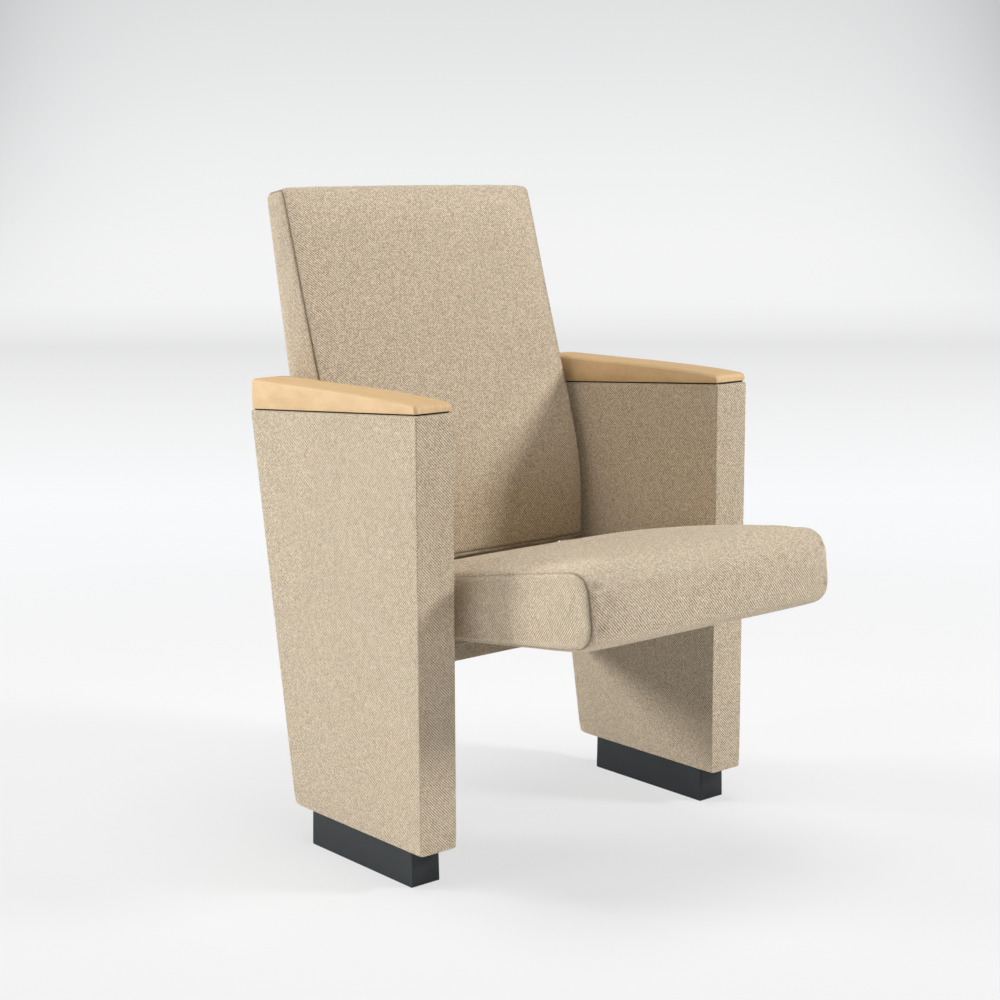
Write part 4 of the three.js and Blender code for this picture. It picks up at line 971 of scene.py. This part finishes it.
def dressed(node, finish, slot, bevel, corner):
    """A merged copy of a node of the frame, with broken edges and round upright corners, that stands for it."""
    source = frame["nodes"][node]
    mesh = bmesh.new()
    mesh.from_mesh(source.data)
    bmesh.ops.remove_doubles(mesh, verts=mesh.verts, dist=1e-6)
    bmesh.ops.dissolve_limit(mesh, angle_limit=math.radians(1.0), verts=mesh.verts, edges=mesh.edges)
    low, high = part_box(node)
    upright = []
    for edge in mesh.edges:
        a, b = (vertex.co for vertex in edge.verts)
        plumb = math.hypot(a.x - b.x, a.y - b.y) < 1e-5
        outer = min(a.x - low.x, high.x - a.x) < 1e-4 and min(a.y - low.y, high.y - a.y) < 1e-4
        if plumb and outer and abs(a.z - b.z) > 0.01:
            upright.append(edge)
    bmesh.ops.bevel(mesh, geom=upright, offset=corner, segments=4, profile=0.5, affect="EDGES")
    data = bpy.data.meshes.new(f"{node}_finished")
    mesh.to_mesh(data)
    mesh.free()
    made = bpy.data.objects.new(f"{node}_finished", data)
    bpy.context.scene.collection.objects.link(made)
    for face in data.polygons:
        face.use_smooth = True
    data.set_sharp_from_angle(angle=math.radians(32))
    modifier = made.modifiers.new("broken_edges", "BEVEL")
    modifier.width = bevel
    modifier.segments = 2
    modifier.limit_method = "ANGLE"
    modifier.angle_limit = math.radians(35)
    modifier.harden_normals = True
    give(made, finish, slot, "frame", node)


# ---------------------------------------------------------------- stage and light


FLOOR_REACH = 7.72  # from the middle of the chair to the wall, along the camera's heading
FLOOR_NEAR, STAGE_HALF, WALL_HEIGHT = 7.0, 9, 6
LAMP_AIM = Vector((0, 0, 0.45))


def flat_stage(name, corners, finish):
    data = bpy.data.meshes.new(name)
    data.from_pydata(corners, [], [range(len(corners))])
    data.materials.append(finish.material)
    made = bpy.data.objects.new(name, data)
    bpy.context.scene.collection.objects.link(made)


def stage():
    scene = bpy.context.scene
    scene.view_settings.view_transform = "Standard"
    heading = math.atan2(math.cos(YAW), -math.sin(YAW)) + math.radians(0.8)
    ahead = Vector((math.cos(heading), math.sin(heading), 0))
    aside = Vector((ahead.y, -ahead.x, 0))

    floor = Finish("studio_floor")
    place = floor.add("ShaderNodeTexCoord")["Object"]
    away = floor.add("ShaderNodeVectorMath", {"operation": "DOT_PRODUCT"}, {0: place, 1: ahead})["Value"]
    # the glowing floor has painted light and shade: brightest in a band, darker near the camera and far off
    tone = floor.ramp((away + 2.0) / 10.0, (0.0, (0.80, 0.80, 0.805)), (0.147, (0.83, 0.83, 0.835)),
                      (0.19, (0.865, 0.867, 0.87)), (0.267, (0.915, 0.917, 0.925)), (0.48, (0.945, 0.952, 0.962)),
                      (0.72, (0.865, 0.867, 0.872)), (0.87, (0.815, 0.817, 0.822)), (0.972, (0.785, 0.787, 0.792)))
    near_chair = floor.add("ShaderNodeVectorMath", {"operation": "LENGTH"}, {0: place})["Value"]
    plain_share = floor.ramp(near_chair / 4.0, (0.25, (0.7, 0.7, 0.7)), (0.55, (1, 1, 1)))
    plain_share = floor.add("ShaderNodeRGBToBW", None, {0: plain_share})[0]
    diffuse = floor.add("ShaderNodeBsdfDiffuse", None, {"Color": (0.92, 0.92, 0.925, 1)})[0]
    glow = floor.add("ShaderNodeEmission", None, {"Color": tone, "Strength": 1.0})[0]
    seen = floor.add("ShaderNodeLightPath")["Is Camera Ray"]
    mixed = floor.add("ShaderNodeMixShader", None, {0: seen * plain_share, 1: diffuse, 2: glow})[0]
    floor.add("ShaderNodeOutputMaterial", None, {"Surface": mixed})
    far = ahead * FLOOR_REACH
    near = ahead * -FLOOR_NEAR
    half = aside * STAGE_HALF
    flat_stage("floor", [near - half, near + half, far + half, far - half], floor)

    wall = Finish("studio_wall")
    place = wall.add("ShaderNodeTexCoord")["Object"]
    height = wall.add("ShaderNodeSeparateXYZ", None, {0: place})["Z"]
    along = wall.add("ShaderNodeVectorMath", {"operation": "DOT_PRODUCT"}, {0: place, 1: aside})["Value"]
    # the glowing wall has painted light and shade: lightest a little above the floor, darker up high
    tone = wall.ramp(height / 2.4, (0.0, (0.785, 0.787, 0.792)), (0.04, (0.845, 0.847, 0.852)),
                     (0.10, (0.90, 0.903, 0.91)), (0.22, (0.905, 0.907, 0.912)), (0.43, (0.86, 0.865, 0.87)),
                     (0.71, (0.765, 0.77, 0.775)), (1.0, (0.66, 0.665, 0.67)))
    # painted shade darkens the wall towards its upper sides
    corner = (along * along / 7.2) ** 3.0 * height * 0.30
    tone = wall.between(corner, tone, (0.35, 0.36, 0.37))
    glow = wall.add("ShaderNodeEmission", None, {"Color": tone, "Strength": 1.0})[0]
    clear = wall.add("ShaderNodeBsdfTransparent")[0]
    path = wall.add("ShaderNodeLightPath")
    seen = path["Is Camera Ray"] + path["Is Glossy Ray"]
    mixed = wall.add("ShaderNodeMixShader", None, {0: seen, 1: clear, 2: glow})[0]
    wall.add("ShaderNodeOutputMaterial", None, {"Surface": mixed})
    up = Vector((0, 0, WALL_HEIGHT))
    flat_stage("wall", [far - half, far + half, far + half + up, far - half + up], wall)

    world = bpy.data.worlds.new("studio")
    scene.world = world
    world.use_nodes = True
    world.node_tree.nodes["Background"].inputs["Color"].default_value = (1.0, 1.0, 1.0, 1)
    world.node_tree.nodes["Background"].inputs["Strength"].default_value = 0.0


def lamp(name, azimuth, elevation, distance, size, power):
    """A round soft lamp, aimed at the chair. Azimuth is from +X towards +Y, in degrees."""
    a, e = math.radians(azimuth), math.radians(elevation)
    away = Vector((math.cos(a) * math.cos(e), math.sin(a) * math.cos(e), math.sin(e)))
    data = bpy.data.lights.new(name, "AREA")
    data.shape = "DISK"
    data.size = size
    data.energy = power
    made = bpy.data.objects.new(name, data)
    bpy.context.scene.collection.objects.link(made)
    turn = away.to_track_quat("Z", "Y").to_matrix().to_4x4()
    made.matrix_world = Matrix.Translation(away * distance + LAMP_AIM) @ turn
    made.visible_camera = False


photo_camera()
stage()
lamp("rear_left_lamp", 131, 14, 8.0, 2.4, 470)
lamp("overhead_lamp", 0, 89, 4.0, 2.5, 103)
lamp("right_lamp", -49, 28, 4.0, 0.8, 101)
lamp("left_lamp", 168, 38, 4.0, 1.5, 34)
lamp("camera_lamp", -132, 8, 4.0, 2.0, 12)

cloth = woven_cloth("beige_melange_twill", (0.94, 0.80, 0.615), (0.28, 0.215, 0.135), (0.17, 0.12, 0.065))
lining = woven_cloth("under_lining", (0.07, 0.068, 0.066), (0.022, 0.022, 0.022), (0.01, 0.01, 0.01), 0.5)
thread = sewing_thread("beige_sewing_thread")
beech = lacquered_beech("lacquered_beech")
coat = powder_coat("grey_powder_coat", (0.023, 0.0275, 0.031), (0.032, 0.038, 0.042))
sand_coat = powder_coat("sand_powder_coat", (0.30, 0.245, 0.175), (0.36, 0.295, 0.215))
plated = zinc_plate("zinc_plate")
rubber = moulded_black("black_rubber", 0.012, 0.72)
spacer_strip = moulded_black("dark_spacer_strip", 0.010, 0.85)
nylon = moulded_black("black_nylon", 0.018, 0.42)
ply_across_x = layered_ply("panel_ply", "X")
ply_back = layered_ply("back_ply", "Y", (RECLINE, 0, 0))
ply_seat = layered_ply("seat_ply", "Z", (TILT, 0, 0))
BITES = bites_tree()

back_cushion()
back_rear_panel()
seat_cushion()
seat_under_cloth()
for side_name in SIDES:
    arm_panel(side_name)
    armrest(side_name)
    dressed(f"{side_name}_plinth_foot", coat, "grey_steel", FOOT_EDGE, FOOT_CORNER)

for name, node in frame["nodes"].items():
    if node.hide_render:
        continue
    if name == "back_board":
        finish = ply_back
    elif name == "seat_pan":
        finish = ply_seat
    elif "core" in name:
        finish = ply_across_x
    elif "sleeve" in name:
        finish = rubber
    elif "spacer" in name:
        finish = spacer_strip
    elif "bush" in name:
        finish = nylon
    elif name == "tie_beam":
        finish = sand_coat
    elif "upright" in name:
        finish = coat
    else:
        finish = plated
    node.data.materials.clear()
    node.data.materials.append(finish)
